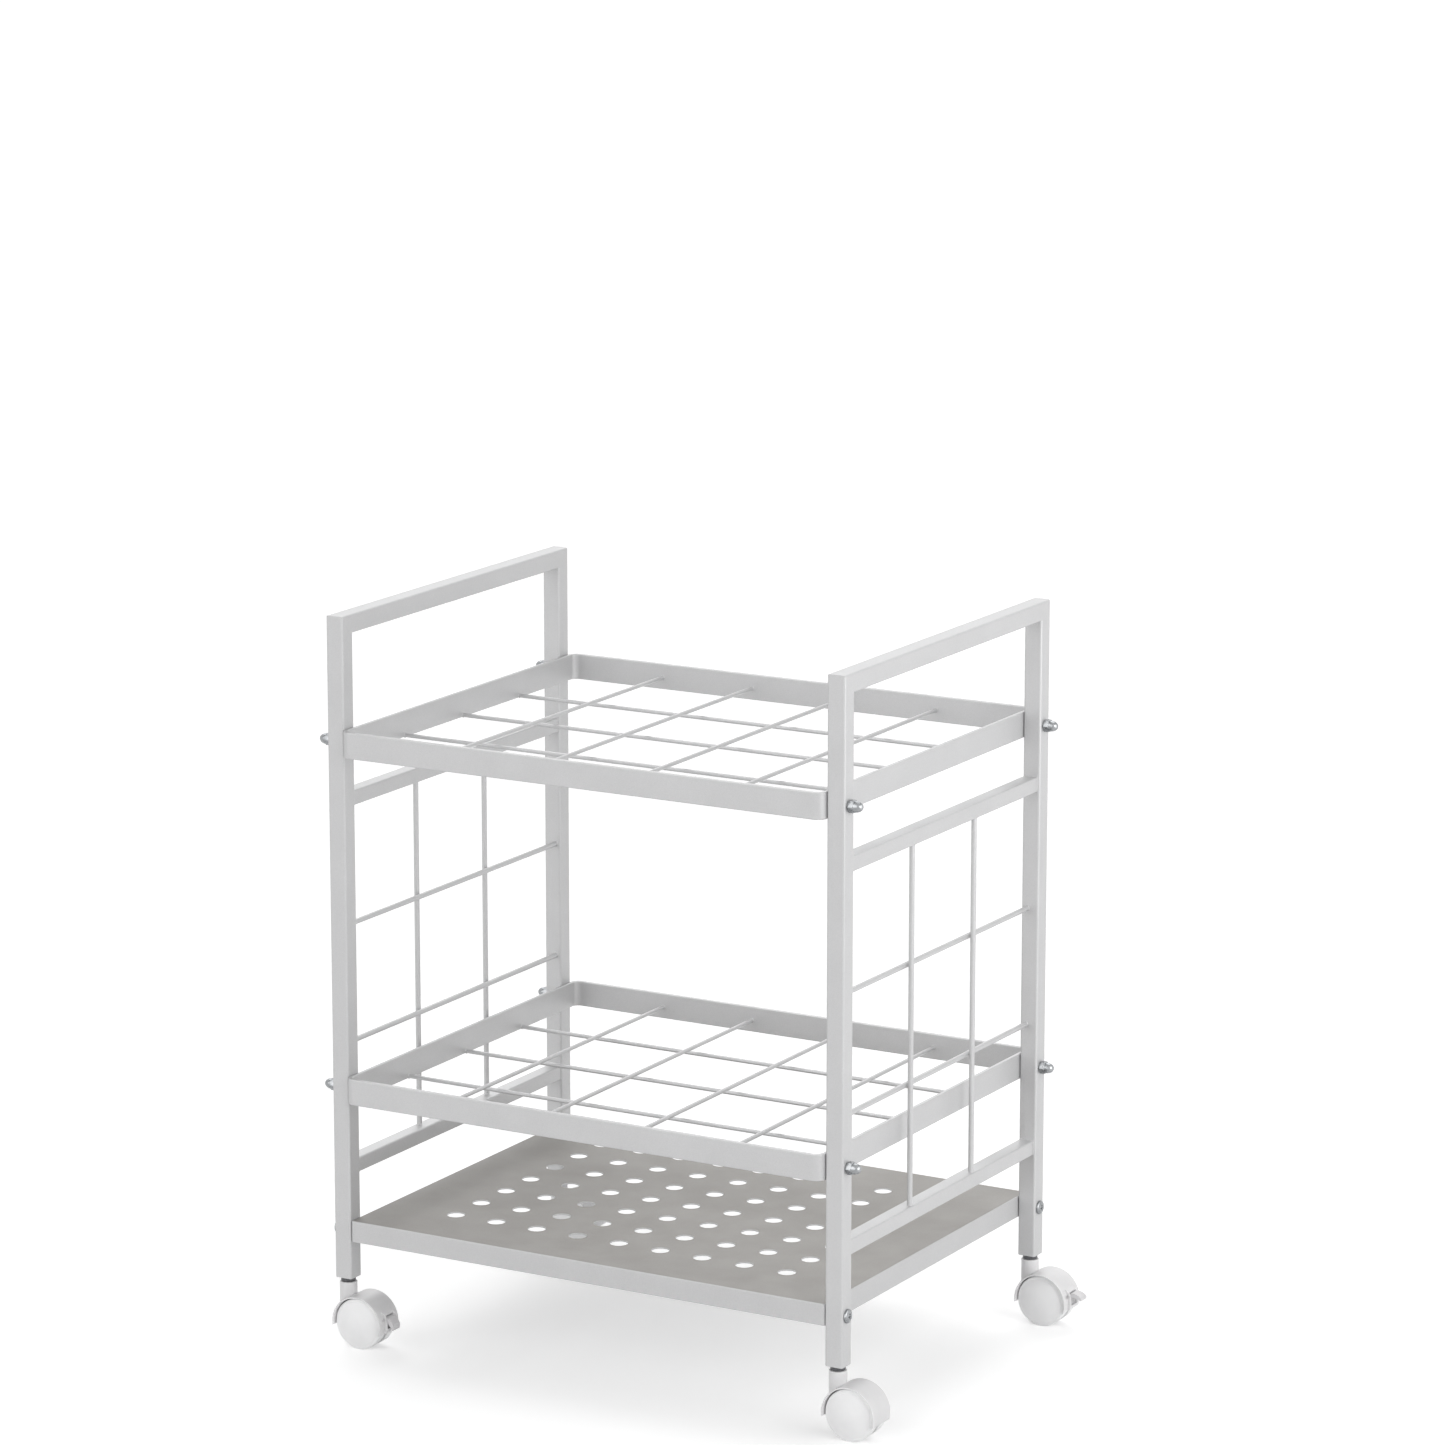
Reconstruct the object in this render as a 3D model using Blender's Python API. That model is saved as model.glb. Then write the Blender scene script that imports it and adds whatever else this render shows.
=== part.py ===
"""Blueprint storage cart: two square-tube side frames, two flat-bar hoops with wire
dividers, a perforated bottom tray and four twin-wheel swivel casters.

Lengths are in metres. X runs left to right, Y front to back, Z up. The cart stands on
z = 0, and its whole box at rest is centred on the origin in X and Y.
"""

import math

import bmesh
import bpy
from mathutils import Matrix, Vector

# Driving sizes of the cart
CART_WIDTH = 0.500
CART_DEPTH = 0.367
POST_LENGTH = 0.584
FIT_GAP = 0.0003
CUT_OVERRUN = 0.001

# Square tubes of the side frames, a height is above the posts' lower ends, a drop below their tops
POST_SIDE = 0.0165
POST_WALL = 0.0012
POST_EDGE_RADIUS = 0.002
RAIL_SIDE = 0.0133
RAIL_WALL = 0.0012
RAIL_EDGE_RADIUS = 0.0015
RAIL_FACE_INSET = 0.0023
MID_RAIL_DROP = 0.1598
BOTTOM_RAIL_HEIGHT = 0.0993
LEAST_INNER_EDGE_SHARE = 0.25

# Wires of the side frames
SIDE_WIRE_DIAMETER = 0.005
SIDE_WIRE_FACE_INSET = 0.0033
SIDE_PANEL_COLUMNS = 3
SIDE_PANEL_ROWS = 3

# Hoops, the height and the drop are of the bar's middle
HOOP_BAR_HEIGHT = 0.023
HOOP_BAR_THICKNESS = 0.0035
HOOP_EDGE_RADIUS = 0.001
HOOP_CORNER_RADIUS = 0.009
HOOP_OVERHANG = 0.007
UPPER_HOOP_DROP = 0.10885
LOWER_HOOP_HEIGHT = 0.1708

# Divider wires, heights are of the wire's middle above the hoop's lower edge
DIVIDER_WIRE_DIAMETER = 0.0035
COLUMN_COUNT = 5
ROW_COUNT = 4
LONG_WIRE_HEIGHT = 0.0105
CROSS_WIRE_HEIGHT = 0.00175

# Tray, heights above the posts' lower ends
TRAY_TOP_HEIGHT = 0.0532
TRAY_LIP_DEPTH = 0.0188
TRAY_SHEET = 0.0012
TRAY_CORNER_RADIUS = 0.0025
TRAY_BEND_RADIUS = 0.0015
TRAY_HOLE_DIAMETER = 0.0155
TRAY_HOLE_PITCH = 0.041
TRAY_HOLE_COLUMNS = 9
TRAY_HOLE_ROWS = 7

# Studs welded to the hoops, and the cap nuts that they hold
STUD_DIAMETER = 0.006
STUD_REACH_IN_NUT = 0.0088
BOLT_HOLE_CLEARANCE = 0.0003
CAP_NUT_FLATS = 0.010
CAP_NUT_HEX_HEIGHT = 0.0052
CAP_NUT_DOME_DIAMETER = 0.0095
CAP_NUT_HEIGHT = 0.012
CAP_NUT_BORE_DEPTH = 0.0096

# Tray screws and the closed nuts pressed into the tray's lips
SCREW_DIAMETER = 0.005
SCREW_HEAD_DIAMETER = 0.012
SCREW_HEAD_HEIGHT = 0.0025
SCREW_HEAD_RIM_SHARE = 1 / 3
SCREW_HEIGHT = 0.0435
SCREW_END_GAP = 0.0005
TRAY_NUT_DIAMETER = 0.009
TRAY_NUT_HEIGHT = 0.0045
TRAY_NUT_END = 0.001

# Stems and the sockets that hold them in the posts
SOCKET_LENGTH = 0.026
STEM_DIAMETER = 0.008
STEM_LENGTH = 0.030
STEM_TIP_TAPER = 0.0015
COLLAR_DIAMETER = 0.013
COLLAR_HEIGHT = 0.0033
COLLAR_EDGE = 0.0004
STEM_NECK_DIAMETER = 0.0066
STEM_NECK_LENGTH = 0.0055
STEM_HEAD_HEIGHT = 0.0040
SWIVEL_CLEARANCE = 0.0004

# Caster wheels and axle
WHEEL_RADIUS = 0.02275
WHEEL_INNER_FACE = 0.0026
WHEEL_RIM_FACE = 0.0117
WHEEL_DOME_HEIGHT = 0.0038
WHEEL_EDGE = 0.0008
WHEEL_HUB_RADIUS = 0.0055
WHEEL_RIM_WALL = 0.0030
WHEEL_RECESS_DEPTH = 0.0060
AXLE_DIAMETER = 0.006
AXLE_LENGTH = 0.022
AXLE_EDGE = 0.0005
AXLE_RUNNING_CLEARANCE = 0.0004

# Caster housing
CASTER_TRAIL = 0.0168
AXLE_DROP = 0.03795
HOOD_CLEARANCE = 0.00075
HOOD_WALL = 0.0013
HOOD_WIDTH = 0.0298
WEB_THICKNESS = 0.0040
WEB_TOE = 0.017
AXLE_BOSS_RADIUS = 0.0055
NECK_DIAMETER = 0.0154
NECK_EDGE = 0.0006
LEAD_END_DROP = 0.0030
TRAIL_END_DROP = 0.0062
TRAIL_END_SLOPE = math.radians(38)

# Brake lever and its mount on the hood, True where the lever is pressed down
BRAKED_CASTERS = {"front_left": True, "back_right": False}
LEVER_WIDTH = 0.0110
LEVER_PIVOT_RADIUS = 0.0253
LEVER_PIVOT_ANGLE = math.radians(15)
LEVER_KNUCKLE_RADIUS = 0.0019
LEVER_PIN_DIAMETER = 0.0022
LEVER_TRAVEL = math.radians(45)
LEVER_SIDE_CLEARANCE = 0.0003
LEVER_SWEEP_CLEARANCE = 0.0006
LEVER_REACH = 0.0118
LEVER_RISE = 0.0034
LEVER_TIP_DROP = 0.0015
LEVER_TIP_THICKNESS = 0.0016
LEVER_KNUCKLE_FRONT_ANGLE = math.radians(-60)
LEVER_UNDERSIDE_SHARES = ((0.27, 0.6), (0.62, 0.6))
LEVER_TIP_SHARES = (0.97, 0.8)
LEVER_TOP_SHARES = ((0.9, 0.2), (0.7, 0.7), (0.38, 1), (0.18, 0.95))
BRAKE_EAR_WIDTH = 0.0018
BRAKE_BOSS_RADIUS = 0.0272
BRAKE_BOSS_TOP_ANGLE = math.radians(30)
BRAKE_SHELF_DROP = 0.0015

# How finely round shapes are drawn
CORNER_STEPS = 2
HOOP_CORNER_STEPS = 4
WIRE_SIDES = 8
HOLE_SIDES = 8
TRAY_HOLE_SIDES = 8
STEM_SIDES = 10
FASTENER_SIDES = 12
WHEEL_SIDES = 20
HOOD_SIDES = 24
DOME_STEPS = 2
KNUCKLE_STEPS = 3
AXLE_BOSS_STEPS = 4
BAND_STEPS = 8
SMOOTH_ANGLE = math.radians(35)
MERGE_DISTANCE = 0.000001

# Places worked out from the sizes above
QUARTER_TURN = math.pi / 2
POST_FOOT = WHEEL_RADIUS + AXLE_DROP
POST_X = (CART_WIDTH - POST_SIDE) / 2
POST_Y = (CART_DEPTH - POST_SIDE) / 2
INNER_X = CART_WIDTH / 2 - POST_SIDE
INNER_Y = CART_DEPTH / 2 - POST_SIDE
MID_RAIL_HEIGHT = POST_LENGTH - MID_RAIL_DROP
UPPER_HOOP_HEIGHT = POST_LENGTH - UPPER_HOOP_DROP
MITRE_TRIM = FIT_GAP / math.sqrt(2)
STUD_HOLE_DIAMETER = STUD_DIAMETER + 2 * BOLT_HOLE_CLEARANCE
SCREW_HOLE_DIAMETER = SCREW_DIAMETER + 2 * BOLT_HOLE_CLEARANCE
HOOP_OUTER_X = INNER_X - FIT_GAP
HOOP_INNER_X = HOOP_OUTER_X - HOOP_BAR_THICKNESS
HOOP_OUTER_Y = CART_DEPTH / 2 + HOOP_OVERHANG
HOOP_INNER_Y = HOOP_OUTER_Y - HOOP_BAR_THICKNESS
HOOP_HEIGHTS = {"upper": UPPER_HOOP_HEIGHT, "lower": LOWER_HOOP_HEIGHT}
TRAY_HALF_X = INNER_X - FIT_GAP
TRAY_HALF_Y = CART_DEPTH / 2
NECK_TOP_DROP = FIT_GAP + COLLAR_HEIGHT + SWIVEL_CLEARANCE
WELL_RADIUS = WHEEL_RADIUS + HOOD_CLEARANCE
HOOD_RADIUS = WELL_RADIUS + HOOD_WALL
LEVER_PIVOT = Vector((
    LEVER_PIVOT_RADIUS * math.cos(LEVER_PIVOT_ANGLE),
    LEVER_PIVOT_RADIUS * math.sin(LEVER_PIVOT_ANGLE),
))
LEVER_CAM_REACH = LEVER_PIVOT_RADIUS - WHEEL_RADIUS - FIT_GAP
CORNERS = {
    "front_left": (-1, -1),
    "back_left": (-1, 1),
    "front_right": (1, -1),
    "back_right": (1, 1),
}
LEFT_REACH = CART_WIDTH / 2 + FIT_GAP + CAP_NUT_HEIGHT
HOOD_REACH = POST_X + CASTER_TRAIL + HOOD_RADIUS
LEVER_TIP_REACH = POST_X + CASTER_TRAIL + LEVER_PIVOT.x + LEVER_REACH
RIGHT_REACH = max(HOOD_REACH, LEVER_TIP_REACH, LEFT_REACH)
FRAME_SHIFT = (LEFT_REACH - RIGHT_REACH) / 2


def clear_scene():
    for old in list(bpy.data.objects):
        bpy.data.objects.remove(old, do_unlink=True)


def make_material(name, colour, roughness, metallic):
    material = bpy.data.materials.new(name)
    material.use_nodes = True
    shader = material.node_tree.nodes["Principled BSDF"]
    shader.inputs["Base Color"].default_value = (*colour, 1)
    shader.inputs["Roughness"].default_value = roughness
    shader.inputs["Metallic"].default_value = metallic
    material.diffuse_color = (*colour, 1)
    return material


def add_empty(name, location, parent=None):
    empty = bpy.data.objects.new(name, None)
    empty.location = location
    empty.parent = parent
    bpy.context.scene.collection.objects.link(empty)
    return empty


def add_piece(name, mesh, material, location=(0, 0, 0), rotation=(0, 0, 0), parent=None):
    """Place a mesh as one named piece of the cart, with a material of its own."""
    piece = bpy.data.objects.new(name, mesh)
    piece.location = location
    piece.rotation_euler = rotation
    piece.parent = parent
    if not mesh.materials:
        mesh.materials.append(None)
    own = material.copy()
    own.name = f"{name}_{material.name}"
    piece.material_slots[0].link = "OBJECT"
    piece.material_slots[0].material = own
    bpy.context.scene.collection.objects.link(piece)
    return piece


def finish_mesh(bm, name):
    bmesh.ops.remove_doubles(bm, verts=bm.verts, dist=MERGE_DISTANCE)
    bmesh.ops.recalc_face_normals(bm, faces=bm.faces)
    mesh = bpy.data.meshes.new(name)
    bm.to_mesh(mesh)
    bm.free()
    mesh.shade_smooth()
    mesh.set_sharp_from_angle(angle=SMOOTH_ANGLE)
    return mesh


def arc(radius, start, end, steps, centre=(0, 0)):
    """Points on an arc, both ends included."""
    points = []
    for step in range(steps + 1):
        angle = start + (end - start) * step / steps
        points.append((centre[0] + radius * math.cos(angle), centre[1] + radius * math.sin(angle)))
    return points


def circle(radius, sides):
    """A round outline that starts on the first axis."""
    return arc(radius, 0, 2 * math.pi * (1 - 1 / sides), sides - 1)


def rounded_rectangle(half_x, half_y, radius, steps):
    points = []
    signs = ((1, 1), (-1, 1), (-1, -1), (1, -1))
    for quarter, (sign_x, sign_y) in enumerate(signs):
        centre = (sign_x * (half_x - radius), sign_y * (half_y - radius))
        start = quarter * QUARTER_TURN
        points += arc(radius, start, start + QUARTER_TURN, steps, centre)
    return points


def add_loop(bm, outline, height=0.0):
    verts = [bm.verts.new((x, y, height)) for x, y in outline]
    return [bm.edges.new((verts[i - 1], verts[i])) for i in range(len(verts))]


def extrude_up(bm, faces, height):
    made = bmesh.ops.extrude_face_region(bm, geom=faces)["geom"]
    moved = [item for item in made if isinstance(item, bmesh.types.BMVert)]
    bmesh.ops.translate(bm, verts=moved, vec=(0, 0, height))
    return moved


def ring_bmesh(outer, inner, height):
    """A straight ring or tube: the band between two outlines, raised to a height."""
    bm = bmesh.new()
    edges = add_loop(bm, outer) + add_loop(bm, inner)
    band = bmesh.ops.bridge_loops(bm, edges=edges)["faces"]
    extrude_up(bm, band, height)
    return bm


def prism_bmesh(outline, height, centred=False):
    bm = bmesh.new()
    start = -height / 2 if centred else 0.0
    face = bm.faces.new([bm.verts.new((x, y, start)) for x, y in outline])
    extrude_up(bm, [face], height)
    return bm


def side_prism_bmesh(outline, width):
    """A prism whose outline is drawn in X and Z, centred on y = 0."""
    bm = prism_bmesh(outline, width, centred=True)
    bm.transform(Matrix.Rotation(QUARTER_TURN, 4, "X"))
    bmesh.ops.recalc_face_normals(bm, faces=bm.faces)
    return bm


def turned_bmesh(profile, sides, axis="Z"):
    """A turned solid: a profile of (radius, height) pairs spun round its axis."""
    bm = bmesh.new()
    verts = [bm.verts.new((radius, 0, height)) for radius, height in profile]
    edges = [bm.edges.new(pair) for pair in zip(verts, verts[1:])]
    bmesh.ops.rotate(bm, verts=verts, cent=(0, 0, 0), matrix=Matrix.Rotation(math.pi / sides, 3, "Z"))
    bmesh.ops.spin(bm, geom=verts + edges, cent=(0, 0, 0), axis=(0, 0, 1),
                   angle=2 * math.pi, steps=sides, use_duplicate=False)
    bmesh.ops.remove_doubles(bm, verts=bm.verts, dist=MERGE_DISTANCE)
    if axis == "X":
        bm.transform(Matrix.Rotation(QUARTER_TURN, 4, "Y"))
    if axis == "Y":
        bm.transform(Matrix.Rotation(-QUARTER_TURN, 4, "X"))
    bmesh.ops.recalc_face_normals(bm, faces=bm.faces)
    return bm


def rod_bmesh(radius, start, end, sides, axis="Z"):
    return turned_bmesh([(0, start), (radius, start), (radius, end), (0, end)], sides, axis)


def moved(bm, x=0.0, y=0.0, z=0.0):
    bm.transform(Matrix.Translation((x, y, z)))
    return bm


def joined(parts):
    """Several closed bodies in one mesh."""
    whole = bmesh.new()
    for part in parts:
        loose = bpy.data.meshes.new("loose_part")
        part.to_mesh(loose)
        part.free()
        whole.from_mesh(loose)
        bpy.data.meshes.remove(loose)
    return whole


def combined(mesh, tool_bm, operation):
    """The mesh after one exact cut or union with the tool's bodies."""
    body = bpy.data.objects.new("body_being_cut", mesh)
    tool_mesh = finish_mesh(tool_bm, "cutting_tool")
    tool = bpy.data.objects.new("cutting_tool", tool_mesh)
    tool.display_type = "WIRE"
    tool.hide_render = True
    for item in (body, tool):
        bpy.context.scene.collection.objects.link(item)
    cut = body.modifiers.new(operation, "BOOLEAN")
    cut.operation = operation
    cut.solver = "EXACT"
    cut.object = tool
    bpy.context.view_layer.update()
    evaluated = body.evaluated_get(bpy.context.evaluated_depsgraph_get())
    result = bpy.data.meshes.new_from_object(evaluated)
    result.name = mesh.name
    for item in (body, tool):
        bpy.data.objects.remove(item, do_unlink=True)
    bpy.data.meshes.remove(tool_mesh)
    bm = bmesh.new()
    bm.from_mesh(result)
    bpy.data.meshes.remove(result)
    result = finish_mesh(bm, mesh.name)
    result.materials.clear()
    return result


def dome_profile(rim_radius, base_height, dome_height, steps):
    """A shallow spherical cap, from its rim to its middle."""
    sphere = (rim_radius ** 2 + dome_height ** 2) / (2 * dome_height)
    rim_angle = math.asin(min(1, rim_radius / sphere))
    centre = base_height + dome_height - sphere
    points = []
    for step in range(1, steps + 1):
        angle = rim_angle * (1 - step / steps)
        points.append((sphere * math.sin(angle), centre + sphere * math.cos(angle)))
    return points


# Side frames

def square_tube(name, side, wall, edge_radius, length, end_mitre=0, start_mitre=0):
    """A square tube along +Z. A mitre of 1 slopes an end by 45 degrees in Y."""
    outer = rounded_rectangle(side / 2, side / 2, edge_radius, CORNER_STEPS)
    inner_radius = max(edge_radius - wall, edge_radius * LEAST_INNER_EDGE_SHARE)
    inner = rounded_rectangle(side / 2 - wall, side / 2 - wall, inner_radius, CORNER_STEPS)
    bm = ring_bmesh(outer, inner, length)
    for vert in bm.verts:
        setback = vert.co.y + side / 2 + MITRE_TRIM
        at_end = vert.co.z > length / 2
        vert.co.z += start_mitre * setback * (not at_end) - end_mitre * setback * at_end
    return finish_mesh(bm, name)


def cross_holes(diameter, heights):
    """Cutters for holes right through a post in X."""
    reach = POST_SIDE / 2 + CUT_OVERRUN
    return joined([
        moved(rod_bmesh(diameter / 2, -reach, reach, HOLE_SIDES, "X"), z=height)
        for height in heights
    ])


def build_posts(frame, steel):
    post = square_tube("post", POST_SIDE, POST_WALL, POST_EDGE_RADIUS, POST_LENGTH, end_mitre=1)
    post = combined(post, cross_holes(STUD_HOLE_DIAMETER, HOOP_HEIGHTS.values()), "DIFFERENCE")
    post = combined(post, cross_holes(SCREW_HOLE_DIAMETER, [SCREW_HEIGHT]), "DIFFERENCE")
    for corner, (side_x, side_y) in CORNERS.items():
        turn = math.pi if side_y > 0 else 0
        place = (side_x * POST_X, side_y * POST_Y, POST_FOOT)
        add_piece(f"{corner}_post", post, steel, place, (0, 0, turn), frame)


def build_rails(frame, steel):
    top = square_tube("top_rail", POST_SIDE, POST_WALL, POST_EDGE_RADIUS, CART_DEPTH,
                      end_mitre=1, start_mitre=1)
    low_length = 2 * (INNER_Y - FIT_GAP)
    low = square_tube("low_rail", RAIL_SIDE, RAIL_WALL, RAIL_EDGE_RADIUS, low_length)
    low_x = CART_WIDTH / 2 - RAIL_FACE_INSET - RAIL_SIDE / 2
    top_z = POST_FOOT + POST_LENGTH - POST_SIDE / 2
    along_y = (-QUARTER_TURN, 0, 0)
    for side_name, side in (("left", -1), ("right", 1)):
        add_piece(f"{side_name}_top_rail", top, steel,
                  (side * POST_X, -CART_DEPTH / 2, top_z), along_y, frame)
        for level, height in (("mid", MID_RAIL_HEIGHT), ("bottom", BOTTOM_RAIL_HEIGHT)):
            add_piece(f"{side_name}_{level}_rail", low, steel,
                      (side * low_x, -low_length / 2, POST_FOOT + height), along_y, frame)


def build_side_wires(frame, steel):
    """Two upright and two level wires in each side, the level ones on the inside."""
    panel_bottom = BOTTOM_RAIL_HEIGHT + RAIL_SIDE / 2
    panel_top = MID_RAIL_HEIGHT - RAIL_SIDE / 2
    radius = SIDE_WIRE_DIAMETER / 2
    upright_half = (panel_top - panel_bottom) / 2 - FIT_GAP
    level_half = INNER_Y - FIT_GAP
    upright = finish_mesh(rod_bmesh(radius, -upright_half, upright_half, WIRE_SIDES), "upright")
    level = finish_mesh(rod_bmesh(radius, -level_half, level_half, WIRE_SIDES, "Y"), "level")
    upright_x = CART_WIDTH / 2 - SIDE_WIRE_FACE_INSET - radius
    level_x = upright_x - SIDE_WIRE_DIAMETER - FIT_GAP
    panel_middle = POST_FOOT + (panel_top + panel_bottom) / 2
    upright_y = INNER_Y / SIDE_PANEL_COLUMNS
    level_rise = (panel_top - panel_bottom) / 2 / SIDE_PANEL_ROWS
    for side_name, side in (("left", -1), ("right", 1)):
        for place, step in (("front", -1), ("back", 1)):
            add_piece(f"{side_name}_{place}_upright_wire", upright, steel,
                      (side * upright_x, step * upright_y, panel_middle), parent=frame)
        for place, step in (("lower", -1), ("upper", 1)):
            add_piece(f"{side_name}_{place}_level_wire", level, steel,
                      (side * level_x, 0, panel_middle + step * level_rise), parent=frame)


# Hoops and dividers

def hoop_mesh():
    """A flat bar standing on edge, bent to a rectangle with round corners."""
    outer = rounded_rectangle(HOOP_OUTER_X, HOOP_OUTER_Y, HOOP_CORNER_RADIUS, HOOP_CORNER_STEPS)
    inner = rounded_rectangle(HOOP_INNER_X, HOOP_INNER_Y,
                              HOOP_CORNER_RADIUS - HOOP_BAR_THICKNESS, HOOP_CORNER_STEPS)
    bm = moved(ring_bmesh(outer, inner, HOOP_BAR_HEIGHT), z=-HOOP_BAR_HEIGHT / 2)
    bmesh.ops.recalc_face_normals(bm, faces=bm.faces)
    rims = [edge for edge in bm.edges
            if {round(abs(face.normal.z)) for face in edge.link_faces} == {0, 1}]
    bmesh.ops.bevel(bm, geom=rims, offset=HOOP_EDGE_RADIUS, segments=1, profile=0.5,
                    affect="EDGES")
    return finish_mesh(bm, "hoop")


def divider_wires_bmesh():
    """The wires that make the cells, their ends set into the bar as its welds hold them."""
    radius = DIVIDER_WIRE_DIAMETER / 2
    long_half = HOOP_INNER_Y + HOOP_BAR_THICKNESS / 2
    cross_half = HOOP_INNER_X + HOOP_BAR_THICKNESS / 2
    column_pitch = 2 * HOOP_INNER_X / COLUMN_COUNT
    row_pitch = 2 * HOOP_INNER_Y / ROW_COUNT
    wires = [
        moved(rod_bmesh(radius, -long_half, long_half, WIRE_SIDES, "Y"),
              x=column * column_pitch - HOOP_INNER_X, z=LONG_WIRE_HEIGHT - HOOP_BAR_HEIGHT / 2)
        for column in range(1, COLUMN_COUNT)
    ]
    wires += [
        moved(rod_bmesh(radius, -cross_half, cross_half, WIRE_SIDES, "X"),
              y=row * row_pitch - HOOP_INNER_Y, z=CROSS_WIRE_HEIGHT - HOOP_BAR_HEIGHT / 2)
        for row in range(1, ROW_COUNT)
    ]
    return joined(wires)


def hoop_studs_bmesh():
    """A stud at each corner, from the bar through the post and into its cap nut."""
    start = HOOP_INNER_X + HOOP_BAR_THICKNESS / 2
    end = CART_WIDTH / 2 + FIT_GAP + STUD_REACH_IN_NUT
    studs = []
    for side_x, side_y in CORNERS.values():
        low, high = sorted((side_x * start, side_x * end))
        stud = rod_bmesh(STUD_DIAMETER / 2, low, high, HOLE_SIDES, "X")
        studs.append(moved(stud, y=side_y * POST_Y))
    return joined(studs)


def build_hoops(frame, steel):
    hoop = combined(hoop_mesh(), divider_wires_bmesh(), "UNION")
    hoop = combined(hoop, hoop_studs_bmesh(), "UNION")
    for level, height in HOOP_HEIGHTS.items():
        add_piece(f"{level}_hoop", hoop, steel, (0, 0, POST_FOOT + height), parent=frame)


# Tray

def tray_shell():
    """A sheet folded down on all four sides, open below."""
    outline = rounded_rectangle(TRAY_HALF_X, TRAY_HALF_Y, TRAY_CORNER_RADIUS, CORNER_STEPS)
    bm = moved(prism_bmesh(outline, TRAY_LIP_DEPTH), z=-TRAY_LIP_DEPTH)
    bmesh.ops.recalc_face_normals(bm, faces=bm.faces)
    top_edges = [edge for edge in bm.edges if all(abs(v.co.z) < MERGE_DISTANCE for v in edge.verts)]
    bmesh.ops.bevel(bm, geom=top_edges, offset=TRAY_BEND_RADIUS, segments=CORNER_STEPS,
                    profile=0.5, affect="EDGES")
    below = [face for face in bm.faces
             if all(v.co.z < MERGE_DISTANCE - TRAY_LIP_DEPTH for v in face.verts)]
    bmesh.ops.delete(bm, geom=below, context="FACES_ONLY")
    sheet = finish_mesh(bm, "tray_sheet")
    folded = bpy.data.objects.new("folded_sheet", sheet)
    bpy.context.scene.collection.objects.link(folded)
    thicken = folded.modifiers.new("sheet_thickness", "SOLIDIFY")
    thicken.thickness = TRAY_SHEET
    thicken.offset = -1
    thicken.use_even_offset = True
    bpy.context.view_layer.update()
    evaluated = folded.evaluated_get(bpy.context.evaluated_depsgraph_get())
    shell = bpy.data.meshes.new_from_object(evaluated)
    bpy.data.objects.remove(folded, do_unlink=True)
    bm = bmesh.new()
    bm.from_mesh(shell)
    return finish_mesh(bm, "tray")


def tray_drills_bmesh():
    """Cutters for the rows of round holes in the tray's sheet."""
    drills = []
    for column in range(TRAY_HOLE_COLUMNS):
        for row in range(TRAY_HOLE_ROWS):
            x = (column - (TRAY_HOLE_COLUMNS - 1) / 2) * TRAY_HOLE_PITCH
            y = (row - (TRAY_HOLE_ROWS - 1) / 2) * TRAY_HOLE_PITCH
            drill = rod_bmesh(TRAY_HOLE_DIAMETER / 2, -TRAY_SHEET - CUT_OVERRUN, CUT_OVERRUN,
                              TRAY_HOLE_SIDES)
            drills.append(moved(drill, x, y))
    return joined(drills)


def lip_rods_bmesh(diameter, inner_end, outer_end):
    """A rod at each tray screw, from one distance to another from the cart's middle."""
    rods = []
    for side_x, side_y in CORNERS.values():
        low, high = sorted((side_x * inner_end, side_x * outer_end))
        rod = rod_bmesh(diameter / 2, low, high, HOLE_SIDES, "X")
        rods.append(moved(rod, y=side_y * POST_Y, z=SCREW_HEIGHT - TRAY_TOP_HEIGHT))
    return joined(rods)


def build_tray(frame, steel):
    """The perforated sheet with a closed nut pressed into its lips at each screw."""
    nut_seat = TRAY_HALF_X - TRAY_SHEET
    nut_face = nut_seat - TRAY_NUT_HEIGHT
    bore_end = nut_face + TRAY_NUT_END
    nuts = lip_rods_bmesh(TRAY_NUT_DIAMETER, nut_face, nut_seat + TRAY_SHEET / 2)
    bores = lip_rods_bmesh(SCREW_HOLE_DIAMETER, bore_end, TRAY_HALF_X + CUT_OVERRUN)
    tray = combined(tray_shell(), tray_drills_bmesh(), "DIFFERENCE")
    tray = combined(tray, nuts, "UNION")
    tray = combined(tray, bores, "DIFFERENCE")
    add_piece("tray", tray, steel, (0, 0, POST_FOOT + TRAY_TOP_HEIGHT), parent=frame)


# Fasteners, each drawn along +X with x = 0 on the post's outer face

def hexagon(flats, sides):
    """A hexagon outline with extra points along its flats, to meet a round one."""
    points = []
    for step in range(sides):
        angle = 2 * math.pi * step / sides
        from_flat = (angle + math.pi / 6) % (math.pi / 3) - math.pi / 6
        radius = flats / 2 / math.cos(from_flat)
        points.append((radius * math.cos(angle), radius * math.sin(angle)))
    return points


def stacked_bmesh(rings, axis="Z"):
    """A solid through rings of (outline, height), a single-point outline closing an end."""
    bm = bmesh.new()
    levels = [[bm.verts.new((x, y, height)) for x, y in outline] for outline, height in rings]
    for low, high in zip(levels, levels[1:]):
        count = max(len(low), len(high))
        for i in range(count):
            corners = [low[i % len(low)], low[(i + 1) % len(low)],
                       high[(i + 1) % len(high)], high[i % len(high)]]
            bm.faces.new(list(dict.fromkeys(corners)))
    if axis == "X":
        bm.transform(Matrix.Rotation(QUARTER_TURN, 4, "Y"))
    bmesh.ops.recalc_face_normals(bm, faces=bm.faces)
    return bm


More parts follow.
